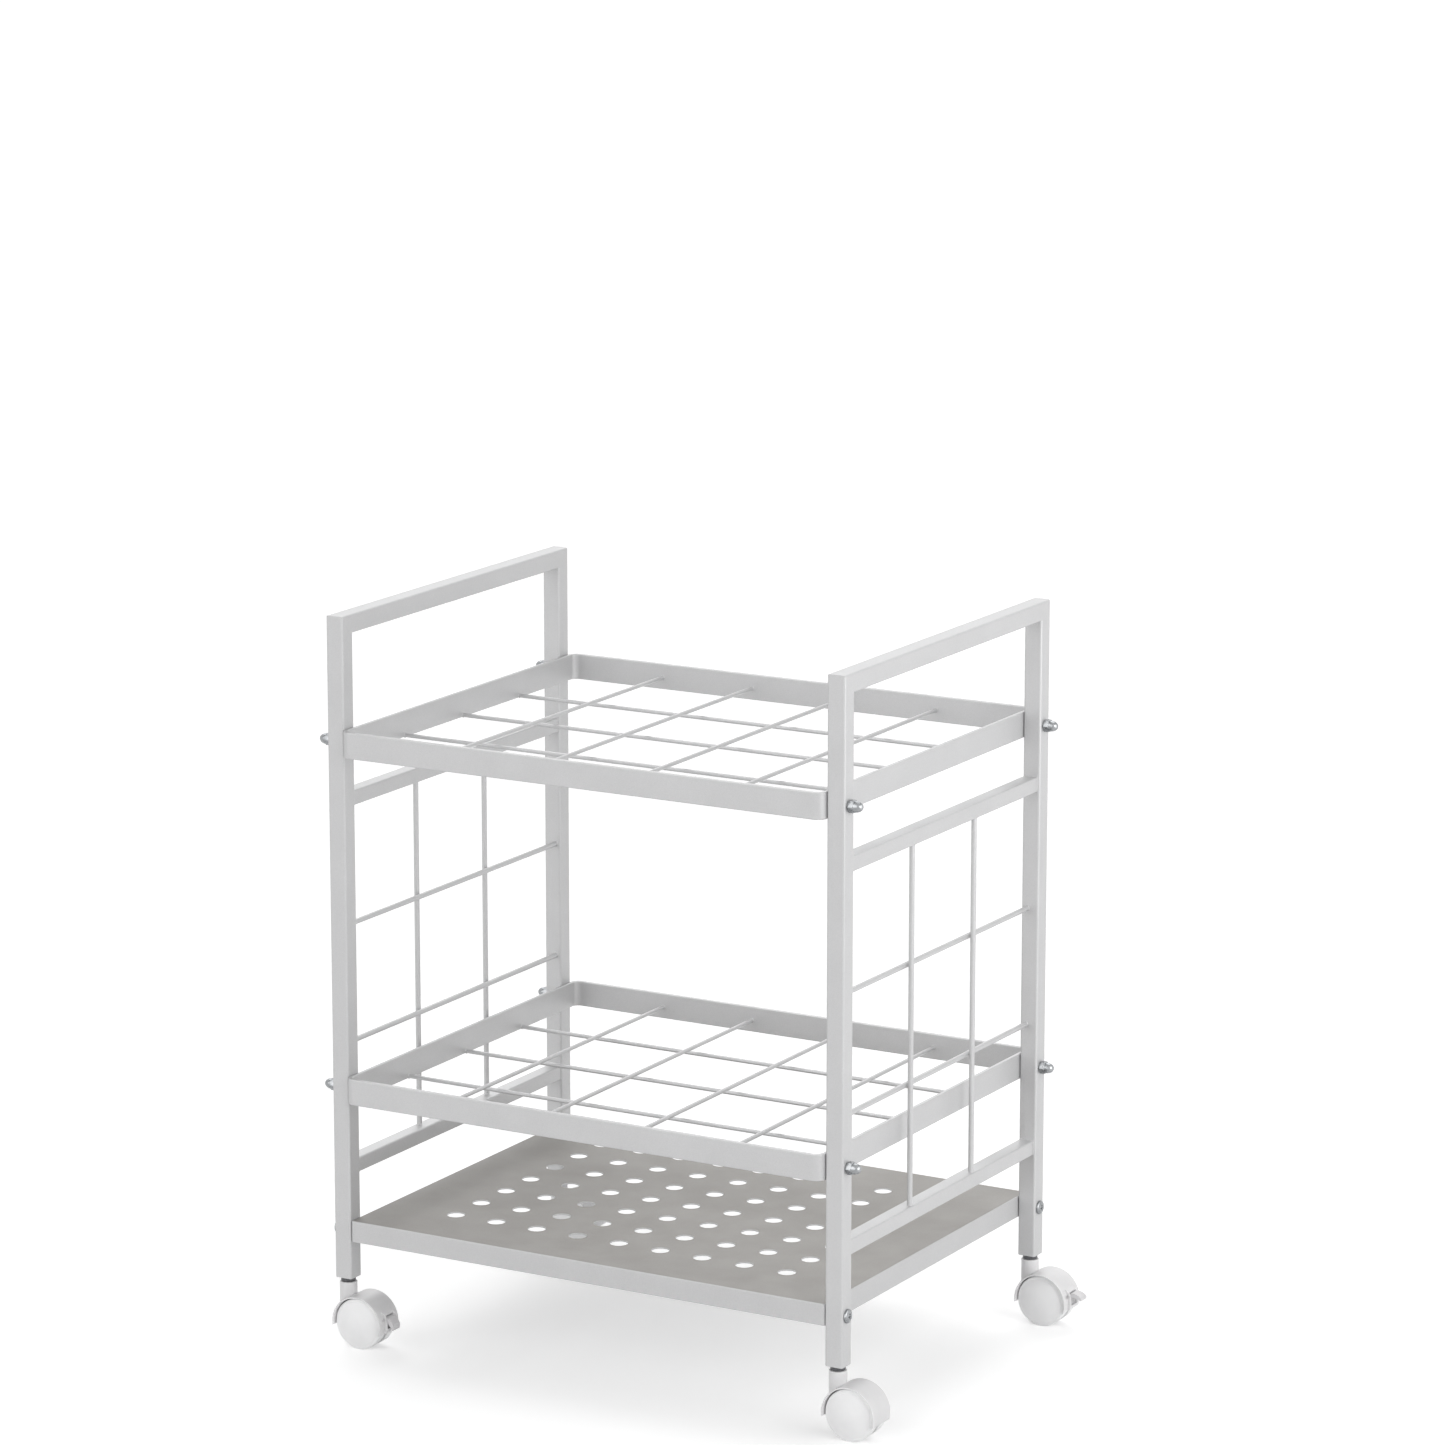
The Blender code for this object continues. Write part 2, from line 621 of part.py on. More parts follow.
def cap_nut_mesh():
    """A hexagon base with a blind bore, and a round dome on it."""
    sides = FASTENER_SIDES
    bore = circle(STUD_HOLE_DIAMETER / 2, sides)
    dome_start = FIT_GAP + CAP_NUT_HEIGHT - CAP_NUT_DOME_DIAMETER / 2
    rings = [
        ([(0, 0)], FIT_GAP + CAP_NUT_BORE_DEPTH),
        (bore, FIT_GAP + CAP_NUT_BORE_DEPTH),
        (bore, FIT_GAP),
        (hexagon(CAP_NUT_FLATS, sides), FIT_GAP),
        (hexagon(CAP_NUT_FLATS, sides), FIT_GAP + CAP_NUT_HEX_HEIGHT),
        (circle(CAP_NUT_DOME_DIAMETER / 2, sides), FIT_GAP + CAP_NUT_HEX_HEIGHT),
    ]
    dome = [(CAP_NUT_DOME_DIAMETER / 2, dome_start)]
    dome += dome_profile(CAP_NUT_DOME_DIAMETER / 2, dome_start, CAP_NUT_DOME_DIAMETER / 2,
                         DOME_STEPS)
    for radius, height in dome[:-1]:
        rings.append((circle(radius, sides), height))
    rings.append(([(0, 0)], dome[-1][1]))
    return finish_mesh(stacked_bmesh(rings, "X"), "cap_nut")


def tray_screw_mesh():
    """A pan head on the post and a shank through the post and into the tray's nut."""
    nut_face = TRAY_HALF_X - TRAY_SHEET - TRAY_NUT_HEIGHT - CART_WIDTH / 2
    shank_end = nut_face + TRAY_NUT_END + SCREW_END_GAP
    rim = SCREW_HEAD_HEIGHT * SCREW_HEAD_RIM_SHARE
    profile = [
        (0, shank_end),
        (SCREW_DIAMETER / 2, shank_end),
        (SCREW_DIAMETER / 2, FIT_GAP),
        (SCREW_HEAD_DIAMETER / 2, FIT_GAP),
        (SCREW_HEAD_DIAMETER / 2, FIT_GAP + rim),
    ]
    profile += dome_profile(SCREW_HEAD_DIAMETER / 2, FIT_GAP + rim, SCREW_HEAD_HEIGHT - rim,
                            DOME_STEPS)
    return finish_mesh(turned_bmesh(profile, FASTENER_SIDES, "X"), "tray_screw")


def build_fasteners(frame, zinc):
    """A cap nut on each stud and a screw at each tray corner, on the posts' outer faces."""
    cap_nut = cap_nut_mesh()
    screw = tray_screw_mesh()
    for corner, (side_x, side_y) in CORNERS.items():
        turn = (0, 0, 0 if side_x > 0 else math.pi)
        face_x = side_x * CART_WIDTH / 2
        for level, height in HOOP_HEIGHTS.items():
            add_piece(f"{corner}_{level}_cap_nut", cap_nut, zinc,
                      (face_x, side_y * POST_Y, POST_FOOT + height), turn, frame)
        add_piece(f"{corner}_tray_screw", screw, zinc,
                  (face_x, side_y * POST_Y, POST_FOOT + SCREW_HEIGHT), turn, frame)


# Casters, drawn with the axle along Y through the origin and the hood trailing to +X

def socket_mesh():
    """A square plug in the post's lower end, with a round bore for the stem."""
    half = POST_SIDE / 2 - POST_WALL - FIT_GAP
    outer = rounded_rectangle(half, half, POST_EDGE_RADIUS, CORNER_STEPS)
    bore = circle(STEM_DIAMETER / 2 + FIT_GAP, len(outer))
    return finish_mesh(ring_bmesh(outer, bore, SOCKET_LENGTH), "stem_socket")


def stem_mesh():
    """A pin up into the socket, a collar, and a headed pivot down into the neck."""
    pin = STEM_DIAMETER / 2
    collar_bottom = -FIT_GAP - COLLAR_HEIGHT
    head_top = collar_bottom - STEM_NECK_LENGTH
    head_bottom = head_top - STEM_HEAD_HEIGHT
    profile = [
        (0, STEM_LENGTH),
        (pin - STEM_TIP_TAPER, STEM_LENGTH),
        (pin, STEM_LENGTH - STEM_TIP_TAPER),
        (pin, -FIT_GAP),
        (COLLAR_DIAMETER / 2 - COLLAR_EDGE, -FIT_GAP),
        (COLLAR_DIAMETER / 2, -FIT_GAP - COLLAR_EDGE),
        (COLLAR_DIAMETER / 2, collar_bottom),
        (STEM_NECK_DIAMETER / 2, collar_bottom),
        (STEM_NECK_DIAMETER / 2, head_top),
        (pin, head_top),
        (pin, head_bottom),
        (0, head_bottom),
    ]
    return finish_mesh(turned_bmesh(profile, STEM_SIDES), "stem")


def wheel_mesh():
    """A hollow wheel, its blind bore open towards the web and its outer face domed."""
    bore = AXLE_DIAMETER / 2 + AXLE_RUNNING_CLEARANCE
    bore_end = AXLE_LENGTH / 2 + AXLE_RUNNING_CLEARANCE
    recess = WHEEL_INNER_FACE + WHEEL_RECESS_DEPTH
    face_radius = WHEEL_RADIUS - WHEEL_EDGE
    profile = [
        (0, bore_end),
        (bore, bore_end),
        (bore, WHEEL_INNER_FACE),
        (WHEEL_HUB_RADIUS, WHEEL_INNER_FACE),
        (WHEEL_HUB_RADIUS, recess),
        (WHEEL_RADIUS - WHEEL_RIM_WALL, recess),
        (WHEEL_RADIUS - WHEEL_RIM_WALL, WHEEL_INNER_FACE),
        (WHEEL_RADIUS, WHEEL_INNER_FACE),
        (WHEEL_RADIUS, WHEEL_RIM_FACE - WHEEL_EDGE),
        (face_radius, WHEEL_RIM_FACE),
    ]
    profile += dome_profile(face_radius, WHEEL_RIM_FACE, WHEEL_DOME_HEIGHT, DOME_STEPS)
    return finish_mesh(turned_bmesh(profile, WHEEL_SIDES, "Y"), "wheel")


def axle_mesh():
    end = AXLE_LENGTH / 2
    radius = AXLE_DIAMETER / 2
    profile = [
        (0, -end),
        (radius - AXLE_EDGE, -end),
        (radius, AXLE_EDGE - end),
        (radius, end - AXLE_EDGE),
        (radius - AXLE_EDGE, end),
        (0, end),
    ]
    return finish_mesh(turned_bmesh(profile, STEM_SIDES, "Y"), "axle")


def underside_outline():
    """What is cut away below the hood's ends and the web, round the axle's boss."""
    far = HOOD_RADIUS + LEVER_REACH
    outer_x = math.sqrt(HOOD_RADIUS ** 2 - TRAIL_END_DROP ** 2)
    slope = math.tan(TRAIL_END_SLOPE)
    boss_start = math.asin(LEAD_END_DROP / AXLE_BOSS_RADIUS)
    boss = arc(AXLE_BOSS_RADIUS, math.pi + boss_start, 2 * math.pi - QUARTER_TURN / 2,
               AXLE_BOSS_STEPS)
    return [
        (-far, -LEAD_END_DROP),
        *boss,
        (WEB_TOE, -TRAIL_END_DROP - (outer_x - WEB_TOE) * slope),
        (far, -TRAIL_END_DROP + (far - outer_x) * slope),
        (far, -far),
        (-far, -far),
    ]


def neck_bmesh():
    """The round neck from the axle's level up to the collar."""
    top = AXLE_DROP - NECK_TOP_DROP
    radius = NECK_DIAMETER / 2
    profile = [(0, 0), (radius, 0), (radius, top - NECK_EDGE), (radius - NECK_EDGE, top), (0, top)]
    return moved(turned_bmesh(profile, WHEEL_SIDES), x=-CASTER_TRAIL)


def stem_bore_bmesh():
    """The neck's bore: a lip round the stem's neck and a wider pocket for its head."""
    top = AXLE_DROP - NECK_TOP_DROP
    lip = STEM_NECK_DIAMETER / 2 + SWIVEL_CLEARANCE
    pocket = STEM_DIAMETER / 2 + SWIVEL_CLEARANCE
    pocket_top = top + SWIVEL_CLEARANCE - STEM_NECK_LENGTH + SWIVEL_CLEARANCE
    pocket_bottom = top - STEM_NECK_LENGTH - STEM_HEAD_HEIGHT
    profile = [
        (0, top + CUT_OVERRUN),
        (lip, top + CUT_OVERRUN),
        (lip, pocket_top),
        (pocket, pocket_top),
        (pocket, pocket_bottom),
        (0, pocket_bottom),
    ]
    return moved(turned_bmesh(profile, STEM_SIDES), x=-CASTER_TRAIL)


def wheel_wells_bmesh():
    start = WEB_THICKNESS / 2
    end = HOOD_WIDTH / 2 + CUT_OVERRUN
    return joined([
        rod_bmesh(WELL_RADIUS, start, end, HOOD_SIDES, "Y"),
        rod_bmesh(WELL_RADIUS, -end, -start, HOOD_SIDES, "Y"),
    ])


def brake_boss_bmesh():
    """The thicker band on the hood's trailing side that carries the lever."""
    start = -TRAIL_END_SLOPE
    hood_middle = WELL_RADIUS + HOOD_WALL / 2
    outer_end = BRAKE_BOSS_TOP_ANGLE - LEVER_PIVOT_ANGLE / 2
    inner_end = BRAKE_BOSS_TOP_ANGLE + LEVER_PIVOT_ANGLE / 2
    outline = arc(BRAKE_BOSS_RADIUS, start, outer_end, BAND_STEPS)
    outline += arc(hood_middle, inner_end, start, BAND_STEPS)
    width = LEVER_WIDTH + 2 * (LEVER_SIDE_CLEARANCE + BRAKE_EAR_WIDTH)
    return side_prism_bmesh(outline, width)


def brake_pocket_bmesh():
    """The window in the band and the hood in which the lever and its cam swing."""
    far = HOOD_RADIUS + LEVER_REACH
    sweep = LEVER_CAM_REACH + LEVER_SWEEP_CLEARANCE
    width = LEVER_WIDTH + 2 * LEVER_SIDE_CLEARANCE
    window = arc(sweep, QUARTER_TURN, QUARTER_TURN + math.pi, BAND_STEPS, LEVER_PIVOT)
    window.append((HOOD_RADIUS, -BRAKE_SHELF_DROP))
    window.append((far, -BRAKE_SHELF_DROP))
    window.append((far, LEVER_PIVOT.y + LEVER_REACH))
    window.append((LEVER_PIVOT.x, LEVER_PIVOT.y + LEVER_REACH))
    return side_prism_bmesh(window, width)


def lever_pin_holes_bmesh():
    reach = LEVER_WIDTH / 2 + LEVER_SIDE_CLEARANCE + BRAKE_EAR_WIDTH + CUT_OVERRUN
    radius = LEVER_PIN_DIAMETER / 2 + LEVER_SIDE_CLEARANCE
    hole = rod_bmesh(radius, -reach, reach, HOLE_SIDES, "Y")
    return moved(hole, x=LEVER_PIVOT.x, z=LEVER_PIVOT.y)


def housing_mesh(name, braked):
    """Hood, web and neck in one moulding, with the brake's band where it has one."""
    half = HOOD_WIDTH / 2
    body = finish_mesh(rod_bmesh(HOOD_RADIUS, -half, half, HOOD_SIDES, "Y"), name)
    body = combined(body, neck_bmesh(), "UNION")
    if braked:
        body = combined(body, brake_boss_bmesh(), "UNION")
        body = combined(body, brake_pocket_bmesh(), "DIFFERENCE")
        body = combined(body, lever_pin_holes_bmesh(), "DIFFERENCE")
    body = combined(body, wheel_wells_bmesh(), "DIFFERENCE")
    underside = side_prism_bmesh(underside_outline(), HOOD_WIDTH + 2 * CUT_OVERRUN)
    body = combined(body, underside, "DIFFERENCE")
    body = combined(body, stem_bore_bmesh(), "DIFFERENCE")
    axle_seat = rod_bmesh(AXLE_DIAMETER / 2 + FIT_GAP, -half, half, STEM_SIDES, "Y")
    return combined(body, axle_seat, "DIFFERENCE")


def lever_mesh():
    """The foot lever, drawn raised and about its own hinge: tab, knuckle, cam and pins."""
    cam_angle = LEVER_PIVOT_ANGLE + math.pi + LEVER_TRAVEL
    cam = (LEVER_CAM_REACH * math.cos(cam_angle), LEVER_CAM_REACH * math.sin(cam_angle))
    knuckle_front = (LEVER_KNUCKLE_RADIUS * math.cos(LEVER_KNUCKLE_FRONT_ANGLE),
                     LEVER_KNUCKLE_RADIUS * math.sin(LEVER_KNUCKLE_FRONT_ANGLE))
    tip_share, thickness_share = LEVER_TIP_SHARES
    outline = [
        *arc(LEVER_KNUCKLE_RADIUS, QUARTER_TURN, math.pi, KNUCKLE_STEPS),
        cam,
        knuckle_front,
        *((LEVER_REACH * along, -LEVER_TIP_DROP * down) for along, down in LEVER_UNDERSIDE_SHARES),
        (LEVER_REACH * tip_share, -LEVER_TIP_DROP - LEVER_TIP_THICKNESS * thickness_share),
        (LEVER_REACH, -LEVER_TIP_DROP),
        *((LEVER_REACH * along, LEVER_RISE * up) for along, up in LEVER_TOP_SHARES),
    ]
    tab = finish_mesh(side_prism_bmesh(outline, LEVER_WIDTH), "brake_lever")
    pin_half = LEVER_WIDTH / 2 + LEVER_SIDE_CLEARANCE + BRAKE_EAR_WIDTH
    pins = rod_bmesh(LEVER_PIN_DIAMETER / 2, -pin_half, pin_half, HOLE_SIDES, "Y")
    return combined(tab, pins, "UNION")


def build_casters(frame, zinc, nylon):
    socket = socket_mesh()
    stem = stem_mesh()
    wheel = wheel_mesh()
    axle = axle_mesh()
    lever = lever_mesh()
    housings = {
        False: housing_mesh("plain_housing", False),
        True: housing_mesh("braked_housing", True),
    }
    for corner, (side_x, side_y) in CORNERS.items():
        post_end = (side_x * POST_X, side_y * POST_Y, POST_FOOT)
        add_piece(f"{corner}_stem_socket", socket, nylon, post_end, parent=frame)
        add_piece(f"{corner}_caster_stem", stem, zinc, post_end, parent=frame)
        swivel = add_empty(f"{corner}_swivel_axis", post_end, frame)
        at_axle = (CASTER_TRAIL, 0, -AXLE_DROP)
        braked = corner in BRAKED_CASTERS
        add_piece(f"{corner}_caster_housing", housings[braked], nylon, at_axle, parent=swivel)
        add_piece(f"{corner}_caster_axle", axle, zinc, at_axle, parent=swivel)
        add_piece(f"{corner}_caster_back_wheel", wheel, nylon, at_axle, parent=swivel)
        add_piece(f"{corner}_caster_front_wheel", wheel, nylon, at_axle, (0, 0, math.pi), swivel)
        if braked:
            hinge = (CASTER_TRAIL + LEVER_PIVOT.x, 0, LEVER_PIVOT.y - AXLE_DROP)
            tilt = LEVER_TRAVEL if BRAKED_CASTERS[corner] else 0
            add_piece(f"{corner}_brake_lever", lever, nylon, hinge, (0, tilt, 0), swivel)


def build_cart():
    clear_scene()
    frame = add_empty("cart_frame", (FRAME_SHIFT, 0, 0))
    silver_paint = make_material("silver_paint", (0.58, 0.58, 0.58), 0.35, 0.5)
    tray_paint = make_material("tray_paint", (0.33, 0.32, 0.31), 0.4, 0.4)
    wire_steel = make_material("wire_steel", (0.55, 0.55, 0.55), 0.3, 0.8)
    zinc = make_material("zinc", (0.62, 0.62, 0.6), 0.25, 1)
    nylon = make_material("white_nylon", (0.8, 0.8, 0.8), 0.4, 0)
    build_posts(frame, silver_paint)
    build_rails(frame, silver_paint)
    build_side_wires(frame, wire_steel)
    build_hoops(frame, silver_paint)
    build_tray(frame, tray_paint)
    build_fasteners(frame, zinc)
    build_casters(frame, zinc, nylon)


build_cart()
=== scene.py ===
# Looks of the blueprint storage cart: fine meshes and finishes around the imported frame
import math

import bmesh
import bpy
from mathutils import Matrix, Vector


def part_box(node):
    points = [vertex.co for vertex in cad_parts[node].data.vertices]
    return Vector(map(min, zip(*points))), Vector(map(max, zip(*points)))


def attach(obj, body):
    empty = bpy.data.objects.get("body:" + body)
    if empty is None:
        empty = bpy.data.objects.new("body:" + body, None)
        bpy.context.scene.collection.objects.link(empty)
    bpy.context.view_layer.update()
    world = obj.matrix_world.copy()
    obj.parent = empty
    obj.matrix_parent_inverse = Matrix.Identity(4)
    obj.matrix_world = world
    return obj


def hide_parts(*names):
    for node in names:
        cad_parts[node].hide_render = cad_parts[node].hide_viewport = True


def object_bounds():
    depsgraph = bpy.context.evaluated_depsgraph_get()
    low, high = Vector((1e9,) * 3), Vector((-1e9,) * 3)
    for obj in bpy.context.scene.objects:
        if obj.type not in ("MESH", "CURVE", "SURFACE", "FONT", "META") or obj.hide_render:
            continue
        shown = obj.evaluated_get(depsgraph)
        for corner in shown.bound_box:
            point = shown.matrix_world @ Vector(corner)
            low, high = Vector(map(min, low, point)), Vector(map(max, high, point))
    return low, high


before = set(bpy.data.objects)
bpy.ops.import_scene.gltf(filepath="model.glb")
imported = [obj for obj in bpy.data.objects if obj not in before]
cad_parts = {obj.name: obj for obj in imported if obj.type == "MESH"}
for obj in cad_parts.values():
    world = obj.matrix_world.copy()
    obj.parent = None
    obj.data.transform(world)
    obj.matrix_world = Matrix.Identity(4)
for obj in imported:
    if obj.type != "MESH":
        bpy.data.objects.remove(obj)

cadLow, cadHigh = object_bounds()
quarterTurn = math.pi / 2
corners = {
    "front_left": (-1, -1),
    "back_left": (-1, 1),
    "front_right": (1, -1),
    "back_right": (1, 1),
}
meshLook = {
    "sharpAngle": math.radians(32),
    "mergeDistance": 0.000001,
    "overrun": 0.001,  # how far a cutter reaches past what it cuts
}
print("frame loaded")


# Outlines

def arcPoints(radius, start, end, steps, centre=(0, 0)):
    points = []
    for step in range(steps + 1):
        angle = start + (end - start) * step / steps
        points.append((centre[0] + radius * math.cos(angle), centre[1] + radius * math.sin(angle)))
    return points


def circlePoints(radius, sides):
    return arcPoints(radius, 0, 2 * math.pi * (1 - 1 / sides), sides - 1)


def roundedPath(halfX, halfY, radius, steps):
    # each point comes with the direction that faces outwards there
    path = []
    for quarter, (signX, signY) in enumerate(((1, 1), (-1, 1), (-1, -1), (1, -1))):
        for step in range(steps + 1):
            angle = (quarter + step / steps) * quarterTurn
            out = (math.cos(angle), math.sin(angle))
            x = signX * (halfX - radius) + radius * out[0]
            y = signY * (halfY - radius) + radius * out[1]
            path.append((x, y, *out))
    return path


def roundedRectangle(halfX, halfY, radius, steps):
    return [(x, y) for x, y, _, _ in roundedPath(halfX, halfY, radius, steps)]


def smoothLine(points, steps):
    # a curve through the points, with even steps between each two
    ends = [points[0], *points, points[-1]]
    line = []
    for before, start, end, after in zip(ends, ends[1:], ends[2:], ends[3:]):
        for step in range(steps):
            t = step / steps
            line.append(tuple(
                0.5 * (2 * b + (c - a) * t + (2 * a - 5 * b + 4 * c - d) * t ** 2
                       + (3 * b - a - 3 * c + d) * t ** 3)
                for a, b, c, d in zip(before, start, end, after)
            ))
    line.append(points[-1])
    return line


# Solids

def loft(rings, loop=False):
    # skins rings of points, a ring of one point closing an end
    bm = bmesh.new()
    levels = [[bm.verts.new(point) for point in ring] for ring in rings]
    pairs = list(zip(levels, levels[1:]))
    if loop:
        pairs.append((levels[-1], levels[0]))
    for low, high in pairs:
        for i in range(max(len(low), len(high))):
            face = [low[i % len(low)], low[(i + 1) % len(low)],
                    high[(i + 1) % len(high)], high[i % len(high)]]
            bm.faces.new(list(dict.fromkeys(face)))
    if not loop:
        for ring in (levels[0], levels[-1]):
            if len(ring) > 2:
                bm.faces.new(ring)
    bmesh.ops.recalc_face_normals(bm, faces=bm.faces)
    return bm


def facing(bm, axis):
    # turns a solid drawn along +Z to lie along another axis
    if axis == "X":
        bm.transform(Matrix.Rotation(quarterTurn, 4, "Y"))
    if axis == "Y":
        bm.transform(Matrix.Rotation(-quarterTurn, 4, "X"))
    return bm


def turned(profile, sides, axis="Z"):
    rings = []
    for radius, height in profile:
        outline = circlePoints(radius, sides) if radius else [(0, 0)]
        rings.append([(x, y, height) for x, y in outline])
    return facing(loft(rings), axis)


def rod(radius, start, end, sides, axis="Z"):
    return turned([(0, start), (radius, start), (radius, end), (0, end)], sides, axis)


def sweep(path, section):
    # a closed bar: the section (outwards, up) carried along a level path
    return loft([[(x + outX * u, y + outY * u, v) for u, v in section]
                 for x, y, outX, outY in path], loop=True)


def easedPrism(outline, width, ease=0, steps=1):
    # an outline in X and Z, as wide as given along Y, its two rims rounded off
    half = width / 2
    bm = loft([[(x, y, z) for x, z in outline] for y in (-half, half)])
    if ease:
        rims = [edge for edge in bm.edges if abs(edge.verts[0].co.y - edge.verts[1].co.y) < half]
        bmesh.ops.bevel(bm, geom=rims, offset=ease, segments=steps, profile=0.5, affect="EDGES",
                        clamp_overlap=True)
    return bm


def moved(bm, x=0.0, y=0.0, z=0.0):
    bm.transform(Matrix.Translation((x, y, z)))
    return bm


def gathered(parts):
    whole = bmesh.new()
    for part in parts:
        loose = bpy.data.meshes.new("loose")
        part.to_mesh(loose)
        part.free()
        whole.from_mesh(loose)
        bpy.data.meshes.remove(loose)
    return whole


def meshFrom(bm, name):
    bmesh.ops.remove_doubles(bm, verts=bm.verts, dist=meshLook["mergeDistance"])
    bmesh.ops.recalc_face_normals(bm, faces=bm.faces)
    mesh = bpy.data.meshes.new(name)
    bm.to_mesh(mesh)
    bm.free()
    return mesh


def evaluatedBm(obj):
    bpy.context.view_layer.update()
    evaluated = obj.evaluated_get(bpy.context.evaluated_depsgraph_get())
    result = bpy.data.meshes.new_from_object(evaluated)
    bm = bmesh.new()
    bm.from_mesh(result)
    bpy.data.meshes.remove(result)
    return bm


def combine(bm, tool, operation):
    body = bpy.data.objects.new("body", meshFrom(bm, "body"))
    cutter = bpy.data.objects.new("cutter", meshFrom(tool, "cutter"))
    for obj in (body, cutter):
        bpy.context.scene.collection.objects.link(obj)
    boolean = body.modifiers.new("boolean", "BOOLEAN")
    boolean.operation = operation
    boolean.solver = "EXACT"
    boolean.object = cutter
    result = evaluatedBm(body)
    for obj in (body, cutter):
        used = obj.data
        bpy.data.objects.remove(obj)
        bpy.data.meshes.remove(used)
    return result


# Finishes: procedural, drawn in metres on each piece's own coordinates

def startMaterial(name):
    material = bpy.data.materials.new(name)
    material.use_nodes = True
    tree = material.node_tree
    return material, tree, tree.nodes["Principled BSDF"]


def noiseOf(tree, featureSize, detail, stretch=(1, 1, 1)):
    coords = tree.nodes.new("ShaderNodeTexCoord")
    mapping = tree.nodes.new("ShaderNodeMapping")
    mapping.inputs["Scale"].default_value = stretch
    noise = tree.nodes.new("ShaderNodeTexNoise")
    noise.inputs["Scale"].default_value = 1 / featureSize
    noise.inputs["Detail"].default_value = detail
    tree.links.new(coords.outputs["Object"], mapping.inputs["Vector"])
    tree.links.new(mapping.outputs["Vector"], noise.inputs["Vector"])
    return noise.outputs["Fac"]


def tonesOf(tree, source, dark, light, spread=(0.3, 0.7)):
    ramp = tree.nodes.new("ShaderNodeValToRGB")
    ramp.color_ramp.elements[0].position = spread[0]
    ramp.color_ramp.elements[1].position = spread[1]
    ramp.color_ramp.elements[0].color = (*dark, 1)
    ramp.color_ramp.elements[1].color = (*light, 1)
    tree.links.new(source, ramp.inputs["Fac"])
    return ramp.outputs["Color"]


def rangeOf(tree, source, low, high):
    remap = tree.nodes.new("ShaderNodeMapRange")
    remap.inputs["To Min"].default_value = low
    remap.inputs["To Max"].default_value = high
    tree.links.new(source, remap.inputs["Value"])
    return remap.outputs["Result"]


def multiplied(tree, first, second, share):
    # share is a number, or an output where it changes over the surface
    mix = tree.nodes.new("ShaderNodeMix")
    mix.data_type = "RGBA"
    mix.blend_type = "MULTIPLY"
    if isinstance(share, float):
        mix.inputs["Factor"].default_value = share
    else:
        tree.links.new(share, mix.inputs["Factor"])
    tree.links.new(first, mix.inputs["A"])
    tree.links.new(second, mix.inputs["B"])
    return mix.outputs["Result"]


def bumpOf(tree, source, depth, before=None):
    bump = tree.nodes.new("ShaderNodeBump")
    bump.inputs["Distance"].default_value = depth
    tree.links.new(source, bump.inputs["Height"])
    if before:
        tree.links.new(before, bump.inputs["Normal"])
    return bump.outputs["Normal"]


levelFace = {"from": 0.85, "full": 0.95}  # how straight up a face looks, 1 being level


def upwards(tree):
    # 1 on faces that look up, 0 on all others
    coords = tree.nodes.new("ShaderNodeTexCoord")
    parts = tree.nodes.new("ShaderNodeSeparateXYZ")
    remap = tree.nodes.new("ShaderNodeMapRange")
    remap.inputs["From Min"].default_value = levelFace["from"]
    remap.inputs["From Max"].default_value = levelFace["full"]
    tree.links.new(coords.outputs["Normal"], parts.inputs["Vector"])
    tree.links.new(parts.outputs["Z"], remap.inputs["Value"])
    return remap.outputs["Result"]


def coatedSteel(name, look):
    # satin silver paint: cloudy tone, fine metal flake and a slight orange peel
    material, tree, shader = startMaterial(name)
    clouds = noiseOf(tree, look["cloudSize"], detail=3)
    tones = tonesOf(tree, clouds, look["dark"], look["light"])
    flakes = tree.nodes.new("ShaderNodeTexVoronoi")
    flakes.inputs["Scale"].default_value = 1 / look["flakeSize"]
    coords = tree.nodes.new("ShaderNodeTexCoord")
    tree.links.new(coords.outputs["Object"], flakes.inputs["Vector"])
    glints = tonesOf(tree, flakes.outputs["Color"], look["darkFlake"], (1, 1, 1), spread=(0, 1))
    paint = multiplied(tree, tones, glints, look["flakeShare"])
    if "shadedTop" in look:
        # painted shade: the top faces are drawn darker than the sides, in cloudy patches, standing in
        # for shade that falls on the top
        shadeClouds = noiseOf(tree, look["shadeCloudSize"], detail=6)
        topShade = tonesOf(tree, shadeClouds, look["shadedTop"], look["lessShadedTop"])
        paint = multiplied(tree, paint, topShade, upwards(tree))
    tree.links.new(paint, shader.inputs["Base Color"])
    sheen = rangeOf(tree, noiseOf(tree, look["cloudSize"] / 2, detail=4), *look["roughness"])
    tree.links.new(sheen, shader.inputs["Roughness"])
    peel = bumpOf(tree, noiseOf(tree, look["peelSize"], detail=2), look["peelDepth"])
    tree.links.new(peel, shader.inputs["Normal"])
    shader.inputs["Metallic"].default_value = look["metallic"]
    shader.inputs["Coat Weight"].default_value = look["coat"]
    shader.inputs["Coat Roughness"].default_value = look["coatRoughness"]
    return material


def platedMetal(name, look):
    # bright plating with a cloudy sheen and faint turning marks
    material, tree, shader = startMaterial(name)
    clouds = noiseOf(tree, look["cloudSize"], detail=4)
    tones = tonesOf(tree, clouds, look["dark"], look["light"])
    tree.links.new(tones, shader.inputs["Base Color"])
    sheen = rangeOf(tree, noiseOf(tree, look["cloudSize"] / 3, detail=3), *look["roughness"])
    tree.links.new(sheen, shader.inputs["Roughness"])
    marks = noiseOf(tree, look["markSize"], detail=2, stretch=look["markStretch"])
    tree.links.new(bumpOf(tree, marks, look["markDepth"]), shader.inputs["Normal"])
    shader.inputs["Metallic"].default_value = 1
    return material


